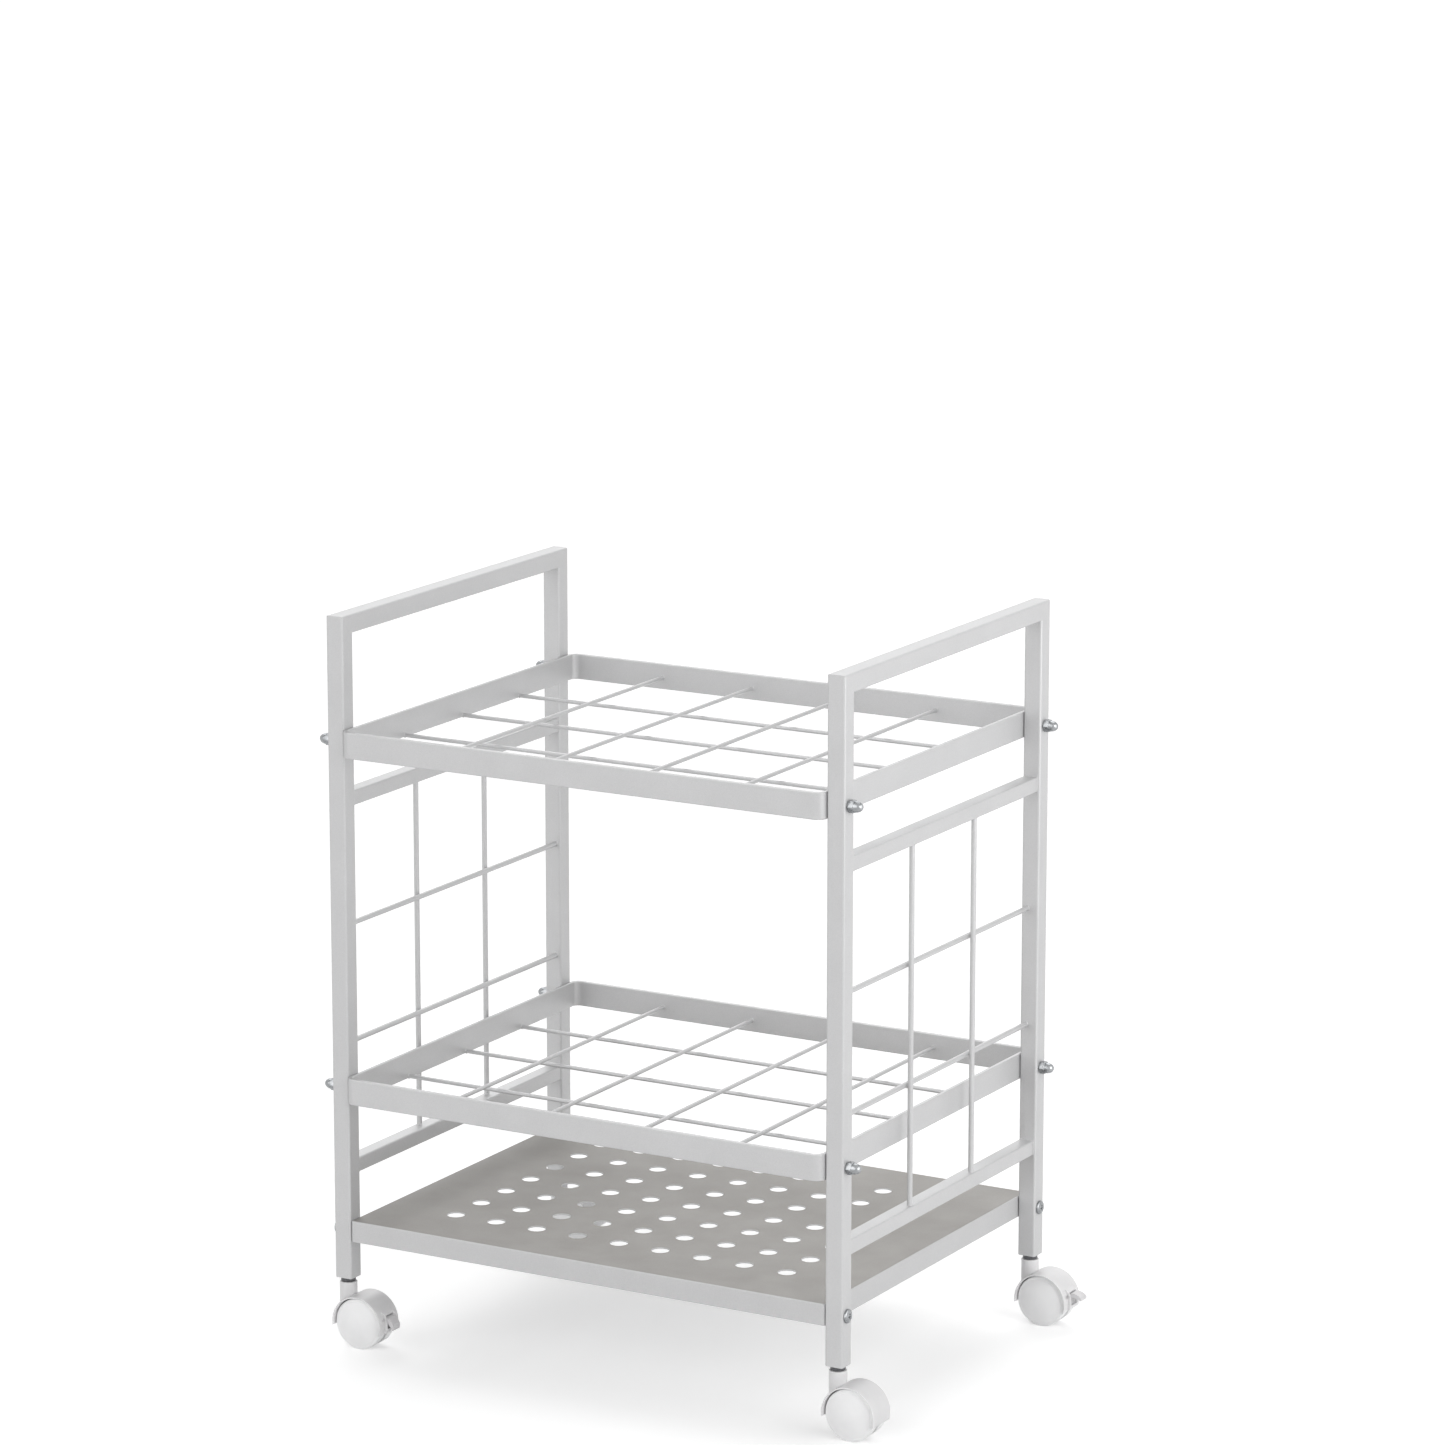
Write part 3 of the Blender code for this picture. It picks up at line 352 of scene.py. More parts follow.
def mouldedNylon(name, look):
    # white nylon: milky, faintly mottled, with the fine grain of its mould
    material, tree, shader = startMaterial(name)
    clouds = noiseOf(tree, look["cloudSize"], detail=3)
    tones = tonesOf(tree, clouds, look["dark"], look["light"])
    tree.links.new(tones, shader.inputs["Base Color"])
    sheen = rangeOf(tree, noiseOf(tree, look["cloudSize"] / 2, detail=3), *look["roughness"])
    tree.links.new(sheen, shader.inputs["Roughness"])
    swell = bumpOf(tree, noiseOf(tree, look["cloudSize"], detail=1), look["swellDepth"])
    grain = bumpOf(tree, noiseOf(tree, look["grainSize"], detail=2), look["grainDepth"], swell)
    tree.links.new(grain, shader.inputs["Normal"])
    shader.inputs["Subsurface Weight"].default_value = look["milkiness"]
    shader.inputs["Subsurface Radius"].default_value = (1, 1, 1)
    shader.inputs["Subsurface Scale"].default_value = look["milkDepth"]
    return material


paintLook = {
    "light": (0.6, 0.6, 0.605),
    "dark": (0.58, 0.58, 0.585),
    "cloudSize": 0.03,
    "flakeSize": 0.0005,
    "flakeShare": 0.5,
    "darkFlake": (0.8, 0.8, 0.8),
    "peelSize": 0.0016,
    "peelDepth": 0.00002,
    "roughness": (0.38, 0.5),
    "metallic": 0.35,
    "coat": 0.1,
    "coatRoughness": 0.3,
}
wirePaintLook = {**paintLook, "roughness": (0.3, 0.4), "peelSize": 0.001}
trayPaintLook = {
    **paintLook,
    "roughness": (0.5, 0.62),
    "metallic": 0.25,
    "coat": 0.0,
    # painted shade on the tray's top faces: its darker and lighter tones and the size of its patches
    "shadedTop": (0.49, 0.47, 0.44),
    "lessShadedTop": (0.57, 0.55, 0.52),
    "shadeCloudSize": 0.05,
}
zincLook = {
    "light": (0.4, 0.41, 0.42),
    "dark": (0.24, 0.25, 0.26),
    "cloudSize": 0.004,
    "roughness": (0.2, 0.34),
    "markSize": 0.0006,
    "markStretch": (1, 0.15, 0.15),
    "markDepth": 0.000012,
}
stemSteelLook = {**zincLook, "light": (0.15, 0.15, 0.155), "dark": (0.09, 0.09, 0.095)}
nylonLook = {
    "light": (0.94, 0.94, 0.945),
    "dark": (0.9, 0.9, 0.905),
    "cloudSize": 0.012,
    "roughness": (0.32, 0.44),
    "swellDepth": 0.00006,
    "grainSize": 0.0005,
    "grainDepth": 0.000012,
    "milkiness": 0.12,
    "milkDepth": 0.0015,
}
hoodNylonLook = {
    **nylonLook,
    "light": (0.77, 0.765, 0.77),
    "dark": (0.74, 0.735, 0.74),
    "milkiness": 0.5,
    "milkDepth": 0.003,
}
leverNylonLook = {**nylonLook, "light": (0.7, 0.69, 0.7), "dark": (0.64, 0.63, 0.64)}
socketNylonLook = {**nylonLook, "light": (0.5, 0.5, 0.5), "dark": (0.45, 0.45, 0.45)}
finishes = {
    "frame_paint": coatedSteel("framePaint", paintLook),
    "hoop_paint": coatedSteel("hoopPaint", paintLook),
    "wire_paint": coatedSteel("wirePaint", wirePaintLook),
    "tray_paint": coatedSteel("trayPaint", trayPaintLook),
    "zinc": platedMetal("zincPlating", zincLook),
    "stem_steel": platedMetal("stemSteel", stemSteelLook),
    "socket_plastic": mouldedNylon("socketNylon", socketNylonLook),
    "hood_plastic": mouldedNylon("hoodNylon", hoodNylonLook),
    "wheel_plastic": mouldedNylon("wheelNylon", nylonLook),
    "lever_plastic": mouldedNylon("leverNylon", leverNylonLook),
}
print("finishes made")


# Placing pieces

def addPiece(name, mesh, finish, body, node=None, place=(0, 0, 0), turn=(0, 0, 0)):
    own = mesh.copy()
    own.name = name
    own.materials.clear()
    own.materials.append(finishes[finish])
    own.shade_smooth()
    own.set_sharp_from_angle(angle=meshLook["sharpAngle"])
    piece = bpy.data.objects.new(name, own)
    bpy.context.scene.collection.objects.link(piece)
    piece.location = place
    piece.rotation_euler = turn
    flat = piece.modifiers.new("flatFaces", "WEIGHTED_NORMAL")
    flat.keep_sharp = True
    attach(piece, body)
    if node:
        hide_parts(node)
    return piece


def middle(node):
    low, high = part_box(node)
    return (low + high) / 2


def span(node):
    low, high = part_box(node)
    return high - low


# Side frames: mitred square tubes, with the rails and wires welded between the posts
tubeLook = {
    "wall": 0.0012,
    "postEdge": 0.002,
    "railEdge": 0.0015,
    "edgeSteps": 6,
    "endEase": 0.00025,
    "seam": 0.00001,  # the hairline between two mitred ends, ground smooth and painted over
    "boltHole": 0.0066,
    "screwHole": 0.0056,
    "holeSides": 32,
    "beadRadius": 0.00055,
    "beadStep": 0.0008,
    "beadRipple": 0.16,
    "rippleTurn": 2.1,  # radians from one step of the bead to the next
    "beadSides": 8,
}


def squareTube(side, edge, length, startMitre=0, endMitre=0):
    look = tubeLook
    ease = look["endEase"]
    outer = roundedRectangle(side / 2, side / 2, edge, look["edgeSteps"])
    eased = roundedRectangle(side / 2 - ease, side / 2 - ease, edge - ease, look["edgeSteps"])
    hollow = side / 2 - look["wall"]
    inner = roundedRectangle(hollow, hollow, max(edge - look["wall"], ease), look["edgeSteps"])

    def ringAt(outline, height, mitre, sign):
        return [(x, y, height + sign * mitre * (y + side / 2 + look["seam"])) for x, y in outline]

    startRim = outer if startMitre else eased
    endRim = outer if endMitre else eased
    return loft([
        ringAt(startRim, 0, startMitre, 1),
        ringAt(outer, 0 if startMitre else ease, startMitre, 1),
        ringAt(outer, length - (0 if endMitre else ease), endMitre, -1),
        ringAt(endRim, length, endMitre, -1),
        ringAt(inner, length, endMitre, -1),
        ringAt(inner, 0, startMitre, 1),
    ], loop=True)


def weldBead(side, edge, height):
    # a rippled bead round a tube, where its end meets a post
    look = tubeLook
    half = side / 2
    path = []
    corner = roundedPath(half, half, edge, look["edgeSteps"])
    for here, there in zip(corner, corner[1:] + corner[:1]):
        gap = math.dist(here[:2], there[:2])
        steps = max(1, round(gap / look["beadStep"]))
        for step in range(steps):
            share = step / steps
            path.append([a + (b - a) * share for a, b in zip(here, there)])
    rings = []
    for count, (x, y, outX, outY) in enumerate(path):
        swell = look["beadRipple"] * math.sin(count * look["rippleTurn"])
        radius = look["beadRadius"] * (1 + swell)
        rings.append([(x + outX * u, y + outY * u, height + v)
                      for u, v in circlePoints(radius, look["beadSides"])])
    return loft(rings, loop=True)


def boltCutters(diameter, side, heights):
    reach = side / 2 + meshLook["overrun"]
    return gathered([
        moved(rod(diameter / 2, -reach, reach, tubeLook["holeSides"], "X"), z=height)
        for height in heights
    ])


def buildPosts():
    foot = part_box("front_left_post")[0].z
    side = span("front_left_post").x
    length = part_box("left_top_rail")[1].z - foot
    post = squareTube(side, tubeLook["postEdge"], length, endMitre=1)
    nutHeights = [middle(f"front_left_{level}_cap_nut").z - foot for level in ("upper", "lower")]
    screwHeight = middle("front_left_tray_screw").z - foot
    post = combine(post, boltCutters(tubeLook["boltHole"], side, nutHeights), "DIFFERENCE")
    post = combine(post, boltCutters(tubeLook["screwHole"], side, [screwHeight]), "DIFFERENCE")
    mesh = meshFrom(post, "post")
    for corner, (_, sideY) in corners.items():
        centre = middle(f"{corner}_post")
        addPiece(f"{corner}_post_tube", mesh, "frame_paint", "frame", f"{corner}_post",
                 (centre.x, centre.y, foot), (0, 0, math.pi if sideY > 0 else 0))


def buildRails():
    alongY = (-quarterTurn, 0, 0)
    side = span("left_top_rail").x
    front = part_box("front_left_post")[0].y
    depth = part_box("back_left_post")[1].y - front
    top = meshFrom(squareTube(side, tubeLook["postEdge"], depth, 1, 1), "topRail")
    lowSide = span("left_mid_rail").x
    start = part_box("front_left_post")[1].y
    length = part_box("back_left_post")[0].y - start
    low = gathered([
        squareTube(lowSide, tubeLook["railEdge"], length),
        weldBead(lowSide, tubeLook["railEdge"], 0),
        weldBead(lowSide, tubeLook["railEdge"], length),
    ])
    low = meshFrom(low, "lowRail")
    for sideName in ("left", "right"):
        centre = middle(f"{sideName}_top_rail")
        addPiece(f"{sideName}_top_rail_tube", top, "frame_paint", "frame", f"{sideName}_top_rail",
                 (centre.x, front, centre.z), alongY)
        for level in ("mid", "bottom"):
            centre = middle(f"{sideName}_{level}_rail")
            addPiece(f"{sideName}_{level}_rail_tube", low, "frame_paint", "frame",
                     f"{sideName}_{level}_rail", (centre.x, start, centre.z), alongY)


wireLook = {
    "sides": 24,
    "flare": 0.0006,  # the weld's collar at each end
    "flareSteps": 4,
}


def weldedWire(radius, start, end, axis):
    # a straight wire whose ends widen into their welds
    flare = wireLook["flare"]
    fillet = []
    for step in range(wireLook["flareSteps"] + 1):
        angle = quarterTurn * step / wireLook["flareSteps"]
        fillet.append((radius + flare * (1 - math.sin(angle)), flare * (1 - math.cos(angle))))
    profile = [(0, start)]
    profile += [(r, start + rise) for r, rise in fillet]
    profile += [(r, end - rise) for r, rise in reversed(fillet)]
    profile.append((0, end))
    return turned(profile, wireLook["sides"], axis)


def buildSideWires():
    for sideName in ("left", "right"):
        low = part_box(f"{sideName}_bottom_rail")[1].z
        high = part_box(f"{sideName}_mid_rail")[0].z
        for place in ("front", "back"):
            node = f"{sideName}_{place}_upright_wire"
            centre = middle(node)
            wire = meshFrom(weldedWire(span(node).y / 2, low, high, "Z"), node)
            addPiece(f"{node}_rod", wire, "wire_paint", "frame", node, (centre.x, centre.y, 0))
        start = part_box(f"front_{sideName}_post")[1].y
        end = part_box(f"back_{sideName}_post")[0].y
        for place in ("lower", "upper"):
            node = f"{sideName}_{place}_level_wire"
            centre = middle(node)
            wire = meshFrom(weldedWire(span(node).z / 2, start, end, "Y"), node)
            addPiece(f"{node}_rod", wire, "wire_paint", "frame", node, (centre.x, 0, centre.z))


buildPosts()
buildRails()
buildSideWires()
print("side frames built")


# Hoops: flat bars bent round the cart, with the wires that make the cells
hoopLook = {
    "thickness": 0.0035,
    "edge": 0.001,
    "edgeSteps": 4,
    "cornerRadius": 0.009,
    "cornerSteps": 16,
    "wireDiameter": 0.0035,
    "longWireHeight": 0.0105,
    "crossWireHeight": 0.00175,
    "columns": 5,
    "rows": 4,
    "fitGap": 0.0003,
    "studDiameter": 0.006,
    "studSides": 24,
}


def buildHoops():
    look = hoopLook
    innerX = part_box("front_right_post")[0].x - look["fitGap"]
    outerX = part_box("front_left_post")[1].x + look["fitGap"]
    centreX = (innerX + outerX) / 2
    halfX = (innerX - outerX) / 2
    halfY = span("upper_hoop").y / 2
    height = span("upper_hoop").z
    inset = look["thickness"] / 2
    section = roundedRectangle(inset, height / 2, look["edge"], look["edgeSteps"])
    path = roundedPath(halfX - inset, halfY - inset, look["cornerRadius"] - inset,
                       look["cornerSteps"])
    bar = meshFrom(sweep(path, section), "hoopBar")
    clearX = halfX - look["thickness"]
    clearY = halfY - look["thickness"]
    radius = look["wireDiameter"] / 2
    longWire = meshFrom(weldedWire(radius, -clearY, clearY, "Y"), "longWire")
    crossWire = meshFrom(weldedWire(radius, -clearX, clearX, "X"), "crossWire")
    studEnd = span("upper_hoop").x / 2
    stud = meshFrom(rod(look["studDiameter"] / 2, clearX + inset, studEnd, look["studSides"], "X"),
                    "stud")
    for level in ("upper", "lower"):
        low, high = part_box(f"{level}_hoop")
        addPiece(f"{level}_hoop_bar", bar, "hoop_paint", "frame", f"{level}_hoop",
                 (centreX, 0, (low.z + high.z) / 2))
        for column in range(1, look["columns"]):
            x = centreX - clearX + 2 * clearX * column / look["columns"]
            addPiece(f"{level}_long_wire_{column}", longWire, "hoop_paint", "frame",
                     place=(x, 0, low.z + look["longWireHeight"]))
        for row in range(1, look["rows"]):
            y = -clearY + 2 * clearY * row / look["rows"]
            addPiece(f"{level}_cross_wire_{row}", crossWire, "hoop_paint", "frame",
                     place=(centreX, y, low.z + look["crossWireHeight"]))
        for corner, (sideX, _) in corners.items():
            y = middle(f"{corner}_post").y
            addPiece(f"{corner}_{level}_stud", stud, "zinc", "frame",
                     place=(centreX, y, (low.z + high.z) / 2),
                     turn=(0, 0, math.pi if sideX < 0 else 0))


buildHoops()
print("hoops built")


# Tray: a sheet folded down on four sides, punched with round holes
trayLook = {
    "sheet": 0.0012,
    "cornerRadius": 0.0025,
    "leastRadius": 0.00025,
    "cornerSteps": 6,
    "bendRadius": 0.0015,
    "bendSteps": 5,
    "holeDiameter": 0.0155,
    "holePitch": 0.041,
    "holeColumns": 9,
    "holeRows": 7,
    "holeSides": 40,
    "holeEase": 0.0002,
    "nutDiameter": 0.009,
    "nutHeight": 0.0045,
    "nutEnd": 0.001,
    "nutEase": 0.0006,
    "nutSides": 32,
}


def foldedSheet(halfX, halfY, depth):
    look = trayLook
    rings = []
    bend = look["bendRadius"]
    sheet = look["sheet"]

    def ringAt(inset, height):
        radius = max(look["cornerRadius"] - inset, look["leastRadius"])
        outline = roundedRectangle(halfX - inset, halfY - inset, radius, look["cornerSteps"])
        return [(x, y, height) for x, y in outline]

    # the outside from the middle of the top down, then the inside back up
    for step in range(look["bendSteps"] + 1):
        angle = quarterTurn * step / look["bendSteps"]
        rings.append(ringAt(bend * (1 - math.sin(angle)), -bend * (1 - math.cos(angle))))
    rings.append(ringAt(0, -depth))
    rings.append(ringAt(sheet, -depth))
    insideBend = bend - sheet
    for step in range(look["bendSteps"] + 1):
        angle = quarterTurn * (1 - step / look["bendSteps"])
        rings.append(ringAt(sheet + insideBend * (1 - math.sin(angle)),
                            -sheet - insideBend * (1 - math.cos(angle))))
    return loft(rings)


def buildTray():
    look = trayLook
    low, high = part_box("tray")
    centre = (low + high) / 2
    halfX = (high.x - low.x) / 2
    halfY = (high.y - low.y) / 2
    tray = foldedSheet(halfX, halfY, high.z - low.z)
    radius = look["holeDiameter"] / 2
    ease = look["holeEase"]
    over = meshLook["overrun"]
    sheet = look["sheet"]
    drills = []
    for column in range(look["holeColumns"]):
        for row in range(look["holeRows"]):
            x = (column - (look["holeColumns"] - 1) / 2) * look["holePitch"]
            y = (row - (look["holeRows"] - 1) / 2) * look["holePitch"]
            profile = [(0, over), (radius + ease + over, over), (radius + ease, 0),
                       (radius, -ease), (radius, -sheet - over), (0, -sheet - over)]
            drills.append(moved(turned(profile, look["holeSides"]), x, y))
    tray = combine(tray, gathered(drills), "DIFFERENCE")
    addPiece("tray_sheet", meshFrom(tray, "tray"), "tray_paint", "frame", "tray",
             (centre.x, centre.y, high.z))
    seat = halfX - sheet
    face = seat - look["nutHeight"]
    outer = look["nutDiameter"] / 2
    bore = tubeLook["screwHole"] / 2
    profile = [
        (0, face),
        (outer - look["nutEase"], face),
        (outer, face + look["nutEase"]),
        (outer, seat),
        (bore, seat),
        (bore, face + look["nutEnd"]),
        (0, face + look["nutEnd"]),
    ]
    nut = meshFrom(turned(profile, look["nutSides"], "X"), "pressedNut")
    for corner, (sideX, _) in corners.items():
        screw = middle(f"{corner}_tray_screw")
        addPiece(f"{corner}_pressed_nut", nut, "zinc", "frame",
                 place=(centre.x, middle(f"{corner}_post").y, screw.z),
                 turn=(0, 0, math.pi if sideX < 0 else 0))


buildTray()
print("tray built")


# Fasteners, each drawn along +X with x = 0 on the post's outer face
nutLook = {
    "flats": 0.010,
    "hexHeight": 0.0052,
    "chamfer": 0.0006,
    "domeDiameter": 0.0095,
    "domeSwell": 0.85,  # 1 is an oval dome, less is fuller
    "height": 0.012,
    "bore": 0.0066,
    "boreDepth": 0.0096,
    "sides": 48,
    "domeSteps": 10,
}
screwLook = {
    "headDiameter": 0.012,
    "headHeight": 0.0025,
    "rimShare": 0.36,
    "domeSwell": 0.7,
    "shank": 0.005,
    "crossLength": 0.005,
    "crossWidth": 0.0013,
    "crossDepth": 0.0019,
    "crossFoot": 0.45,  # shares of its length at the bottom and over the top
    "crossMouth": 1.35,
    "sides": 48,
    "domeSteps": 8,
}


def hexRadius(angle, flats):
    fromFlat = (angle + math.pi / 6) % (math.pi / 3) - math.pi / 6
    return flats / 2 / math.cos(fromFlat)


def capNut():
    look = nutLook
    sides = look["sides"]

    def hexRing(height, limit):
        ring = []
        for step in range(sides):
            angle = 2 * math.pi * step / sides
            radius = min(hexRadius(angle, look["flats"]), limit)
            ring.append((radius * math.cos(angle), radius * math.sin(angle), height))
        return ring

    def roundRing(radius, height):
        return [(x, y, height) for x, y in circlePoints(radius, sides)]

    flat = look["flats"] / 2
    wide = look["flats"]
    dome = look["domeDiameter"] / 2
    rise = look["height"] - look["hexHeight"]
    rings = [
        [(0, 0, look["boreDepth"])],
        roundRing(look["bore"] / 2, look["boreDepth"]),
        roundRing(look["bore"] / 2, 0),
        hexRing(0, flat),
        hexRing(look["chamfer"], wide),
        hexRing(look["hexHeight"] - look["chamfer"], wide),
        hexRing(look["hexHeight"], flat),
        roundRing(dome, look["hexHeight"]),
    ]
    for step in range(1, look["domeSteps"]):
        angle = quarterTurn * step / look["domeSteps"]
        rings.append(roundRing(dome * math.cos(angle) ** look["domeSwell"],
                               look["hexHeight"] + rise * math.sin(angle)))
    rings.append([(0, 0, look["height"])])
    return facing(loft(rings), "X")


def panScrew(shankEnd):
    look = screwLook
    radius = look["headDiameter"] / 2
    rim = look["headHeight"] * look["rimShare"]
    rise = look["headHeight"] - rim
    profile = [(0, shankEnd), (look["shank"] / 2, shankEnd), (look["shank"] / 2, 0), (radius, 0)]
    for step in range(look["domeSteps"]):
        angle = quarterTurn * step / look["domeSteps"]
        profile.append((radius * math.cos(angle) ** look["domeSwell"],
                        rim + rise * math.sin(angle)))
    profile.append((0, look["headHeight"]))
    head = turned(profile, look["sides"], "X")
    thin = look["crossWidth"] / 2
    rings = []
    for height, share in ((look["headHeight"] - look["crossDepth"], look["crossFoot"]),
                          (look["headHeight"] + meshLook["overrun"], look["crossMouth"])):
        long = look["crossLength"] / 2 * share
        arm = [(long, -thin), (long, thin), (thin, thin)]
        cross = []
        for _ in range(4):
            cross += arm
            arm = [(-z, y) for y, z in arm]
        rings.append([(height, y, z) for y, z in cross])
    return combine(head, loft(rings), "DIFFERENCE")


def buildFasteners():
    seatGap = hoopLook["fitGap"]
    nut = meshFrom(capNut(), "capNut")
    screwReach = span("front_left_tray_screw").x - screwLook["headHeight"]
    screw = meshFrom(panScrew(-screwReach), "screw")
    for corner, (sideX, _) in corners.items():
        turn = (0, 0, 0 if sideX > 0 else math.pi)
        low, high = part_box(f"{corner}_post")
        faceX = high.x + seatGap if sideX > 0 else low.x - seatGap
        for ending, mesh in (("upper_cap_nut", nut), ("lower_cap_nut", nut), ("tray_screw", screw)):
            node = f"{corner}_{ending}"
            centre = middle(node)
            addPiece(f"{node}_plated", mesh, "zinc", "frame", node,
                     (faceX, centre.y, centre.z), turn)


buildFasteners()
print("fasteners built")


# Casters, drawn with the axle along Y through the origin and the hood trailing to +X
wheelLook = {
    "innerFace": 0.0026,
    "rimFace": 0.0117,
    "domeHeight": 0.0038,
    "edge": 0.0009,
    "edgeSteps": 5,
    "grooveAtShare": 0.93,
    "grooveWidth": 0.0005,
    "grooveDepth": 0.00022,
    "grooveShape": ((1, 0), (0.5, 0.85), (0, 1), (-0.5, 0.85), (-1, 0)),  # across, down
    "hubRadius": 0.0055,
    "rimWall": 0.003,
    "recessDepth": 0.006,
    "bore": 0.0034,
    "boreEnd": 0.0114,
    "sides": 96,
    "domeSteps": 12,
}
hoodLook = {
    "wellRadius": 0.0235,
    "wall": 0.0013,
    "width": 0.0298,
    "edge": 0.0005,
    "edgeSteps": 3,
    "sides": 120,
    "web": 0.004,
    "webToe": 0.017,
    "bossRadius": 0.0055,
    "bossSteps": 16,
    "leadDrop": 0.003,
    "trailDrop": 0.0062,
    "trailSlope": math.radians(38),
    "neckDiameter": 0.0154,
    "neckTop": 0.03395,
    "neckEdge": 0.0006,
    "neckEdgeSteps": 4,
    "neckSides": 64,
    "trail": 0.0168,
    "stemLip": 0.0037,
    "stemPocket": 0.0044,
    "pocketTop": 0.02925,
    "pocketBottom": 0.02445,
    "axleSeat": 0.0033,
    "boreSides": 32,
}
brakeLook = {
    "width": 0.0110,
    "sideClearance": 0.0003,
    "earWidth": 0.0018,
    "bandRadius": 0.0272,
    "bandTop": math.radians(30),
    "bandEase": 0.0004,
    "bandEaseSteps": 3,
    "bandSteps": 40,
    "pivotRadius": 0.0253,
    "pivotAngle": math.radians(15),
    "travel": math.radians(45),
    "camReach": 0.00225,
    "sweepClearance": 0.0006,
    "windowSteps": 24,
    "shelfDrop": 0.0015,
    "knuckle": 0.0019,
    "pin": 0.0022,
    "pinSides": 24,
    "reach": 0.0118,
    "rise": 0.0034,
    "tipDrop": 0.0015,
    "tipThickness": 0.0016,
    "ease": 0.00025,
    "easeSteps": 2,
    "knuckleSteps": 8,
    "topShape": ((0.18, 0.95), (0.38, 1), (0.7, 0.7), (0.9, 0.2)),  # shares of reach and rise
    "topSteps": 10,
    "tipShares": (0.97, 0.8),  # of the reach, and of the tip's thickness
    "bellyShares": (0.62, 0.27),  # of the reach
    "bellyDrop": 0.0009,
    "ribHeight": 0.00028,
    "ribCount": 4,
    "ribStartShare": 0.42,
}
stemLook = {
    "pin": 0.008,
    "collar": 0.013,
    "collarHeight": 0.0033,
    "collarEdge": 0.0004,
    "collarEdgeSteps": 4,
    "collarSeat": 0.00003,  # the collar's drop below the post's foot
    "neck": 0.0066,
    "neckLength": 0.0055,
    "headHeight": 0.004,
    "taper": 0.0015,
    "fitGap": 0.0003,
    "sides": 48,
}


def wheelSolid(radius):
    look = wheelLook
    edge = look["edge"]
    recess = look["innerFace"] + look["recessDepth"]
    faceRadius = radius - edge
    sphere = (faceRadius ** 2 + look["domeHeight"] ** 2) / (2 * look["domeHeight"])

    def domeAt(r):
        return look["rimFace"] + look["domeHeight"] - sphere + math.sqrt(sphere ** 2 - r ** 2)

    profile = [
        (0, look["boreEnd"]),
        (look["bore"], look["boreEnd"]),
        (look["bore"], look["innerFace"]),
        (look["hubRadius"], look["innerFace"]),
        (look["hubRadius"], recess),
        (radius - look["rimWall"], recess),
        (radius - look["rimWall"], look["innerFace"]),
    ]
    profile += arcPoints(edge / 2, -quarterTurn, 0, look["edgeSteps"],
                         (radius - edge / 2, look["innerFace"] + edge / 2))
    profile += arcPoints(edge, 0, quarterTurn - math.asin(faceRadius / sphere), look["edgeSteps"],
                         (faceRadius, look["rimFace"] - edge))
    groove = faceRadius * look["grooveAtShare"]
    width = look["grooveWidth"]
    for offset, depth in look["grooveShape"]:
        r = groove + offset * width
        profile.append((r, domeAt(r) - depth * look["grooveDepth"]))
    inner = groove - width
    for step in range(1, look["domeSteps"]):
        r = inner * (1 - step / look["domeSteps"])
        profile.append((r, domeAt(r)))
    profile.append((0, domeAt(0)))
    return turned(profile, look["sides"], "Y")


def undersideOutline(far):
    look = hoodLook
    outer = look["wellRadius"] + look["wall"]
    outerX = math.sqrt(outer ** 2 - look["trailDrop"] ** 2)
    slope = math.tan(look["trailSlope"])
    bossStart = math.asin(look["leadDrop"] / look["bossRadius"])
    boss = arcPoints(look["bossRadius"], math.pi + bossStart, 2 * math.pi - quarterTurn / 2,
                     look["bossSteps"])
    return [
        (-far, -look["leadDrop"]),
        *boss,
        (look["webToe"], -look["trailDrop"] - (outerX - look["webToe"]) * slope),
        (far, -look["trailDrop"] + (far - outerX) * slope),
        (far, -far),
        (-far, -far),
    ]


def hoodBand():
    # the curved cover over both wheels, its section carried round the axle
    look = hoodLook
    centre = look["wellRadius"] + look["wall"] / 2
    section = roundedRectangle(look["wall"] / 2, look["width"] / 2, look["edge"], look["edgeSteps"])
    start = -look["trailSlope"]
    end = math.pi + look["trailSlope"]
    rings = []
    for step in range(look["sides"] + 1):
        angle = start + (end - start) * step / look["sides"]
        rings.append([((centre + u) * math.cos(angle), v, (centre + u) * math.sin(angle))
                      for u, v in section])
    return loft(rings)


def pivotPoint():
    look = brakeLook
    return (look["pivotRadius"] * math.cos(look["pivotAngle"]),
            look["pivotRadius"] * math.sin(look["pivotAngle"]))


def brakeBand(centre):
    look = brakeLook
    start = -hoodLook["trailSlope"]
    slant = look["pivotAngle"] / 2
    outline = arcPoints(look["bandRadius"], start, look["bandTop"] - slant, look["bandSteps"])
    outline += arcPoints(centre, look["bandTop"] + slant, start, look["bandSteps"])
    width = look["width"] + 2 * (look["sideClearance"] + look["earWidth"])
    return easedPrism(outline, width, look["bandEase"], look["bandEaseSteps"])


def brakeWindow():
    look = brakeLook
    pivotX, pivotZ = pivotPoint()
    outer = hoodLook["wellRadius"] + hoodLook["wall"]
    far = outer + look["reach"]
    outline = arcPoints(look["camReach"] + look["sweepClearance"], quarterTurn,
                        quarterTurn + math.pi, look["windowSteps"], (pivotX, pivotZ))
    outline += [
        (outer, -look["shelfDrop"]),
        (far, -look["shelfDrop"]),
        (far, pivotZ + look["reach"]),
        (pivotX, pivotZ + look["reach"]),
    ]
    return easedPrism(outline, look["width"] + 2 * look["sideClearance"])


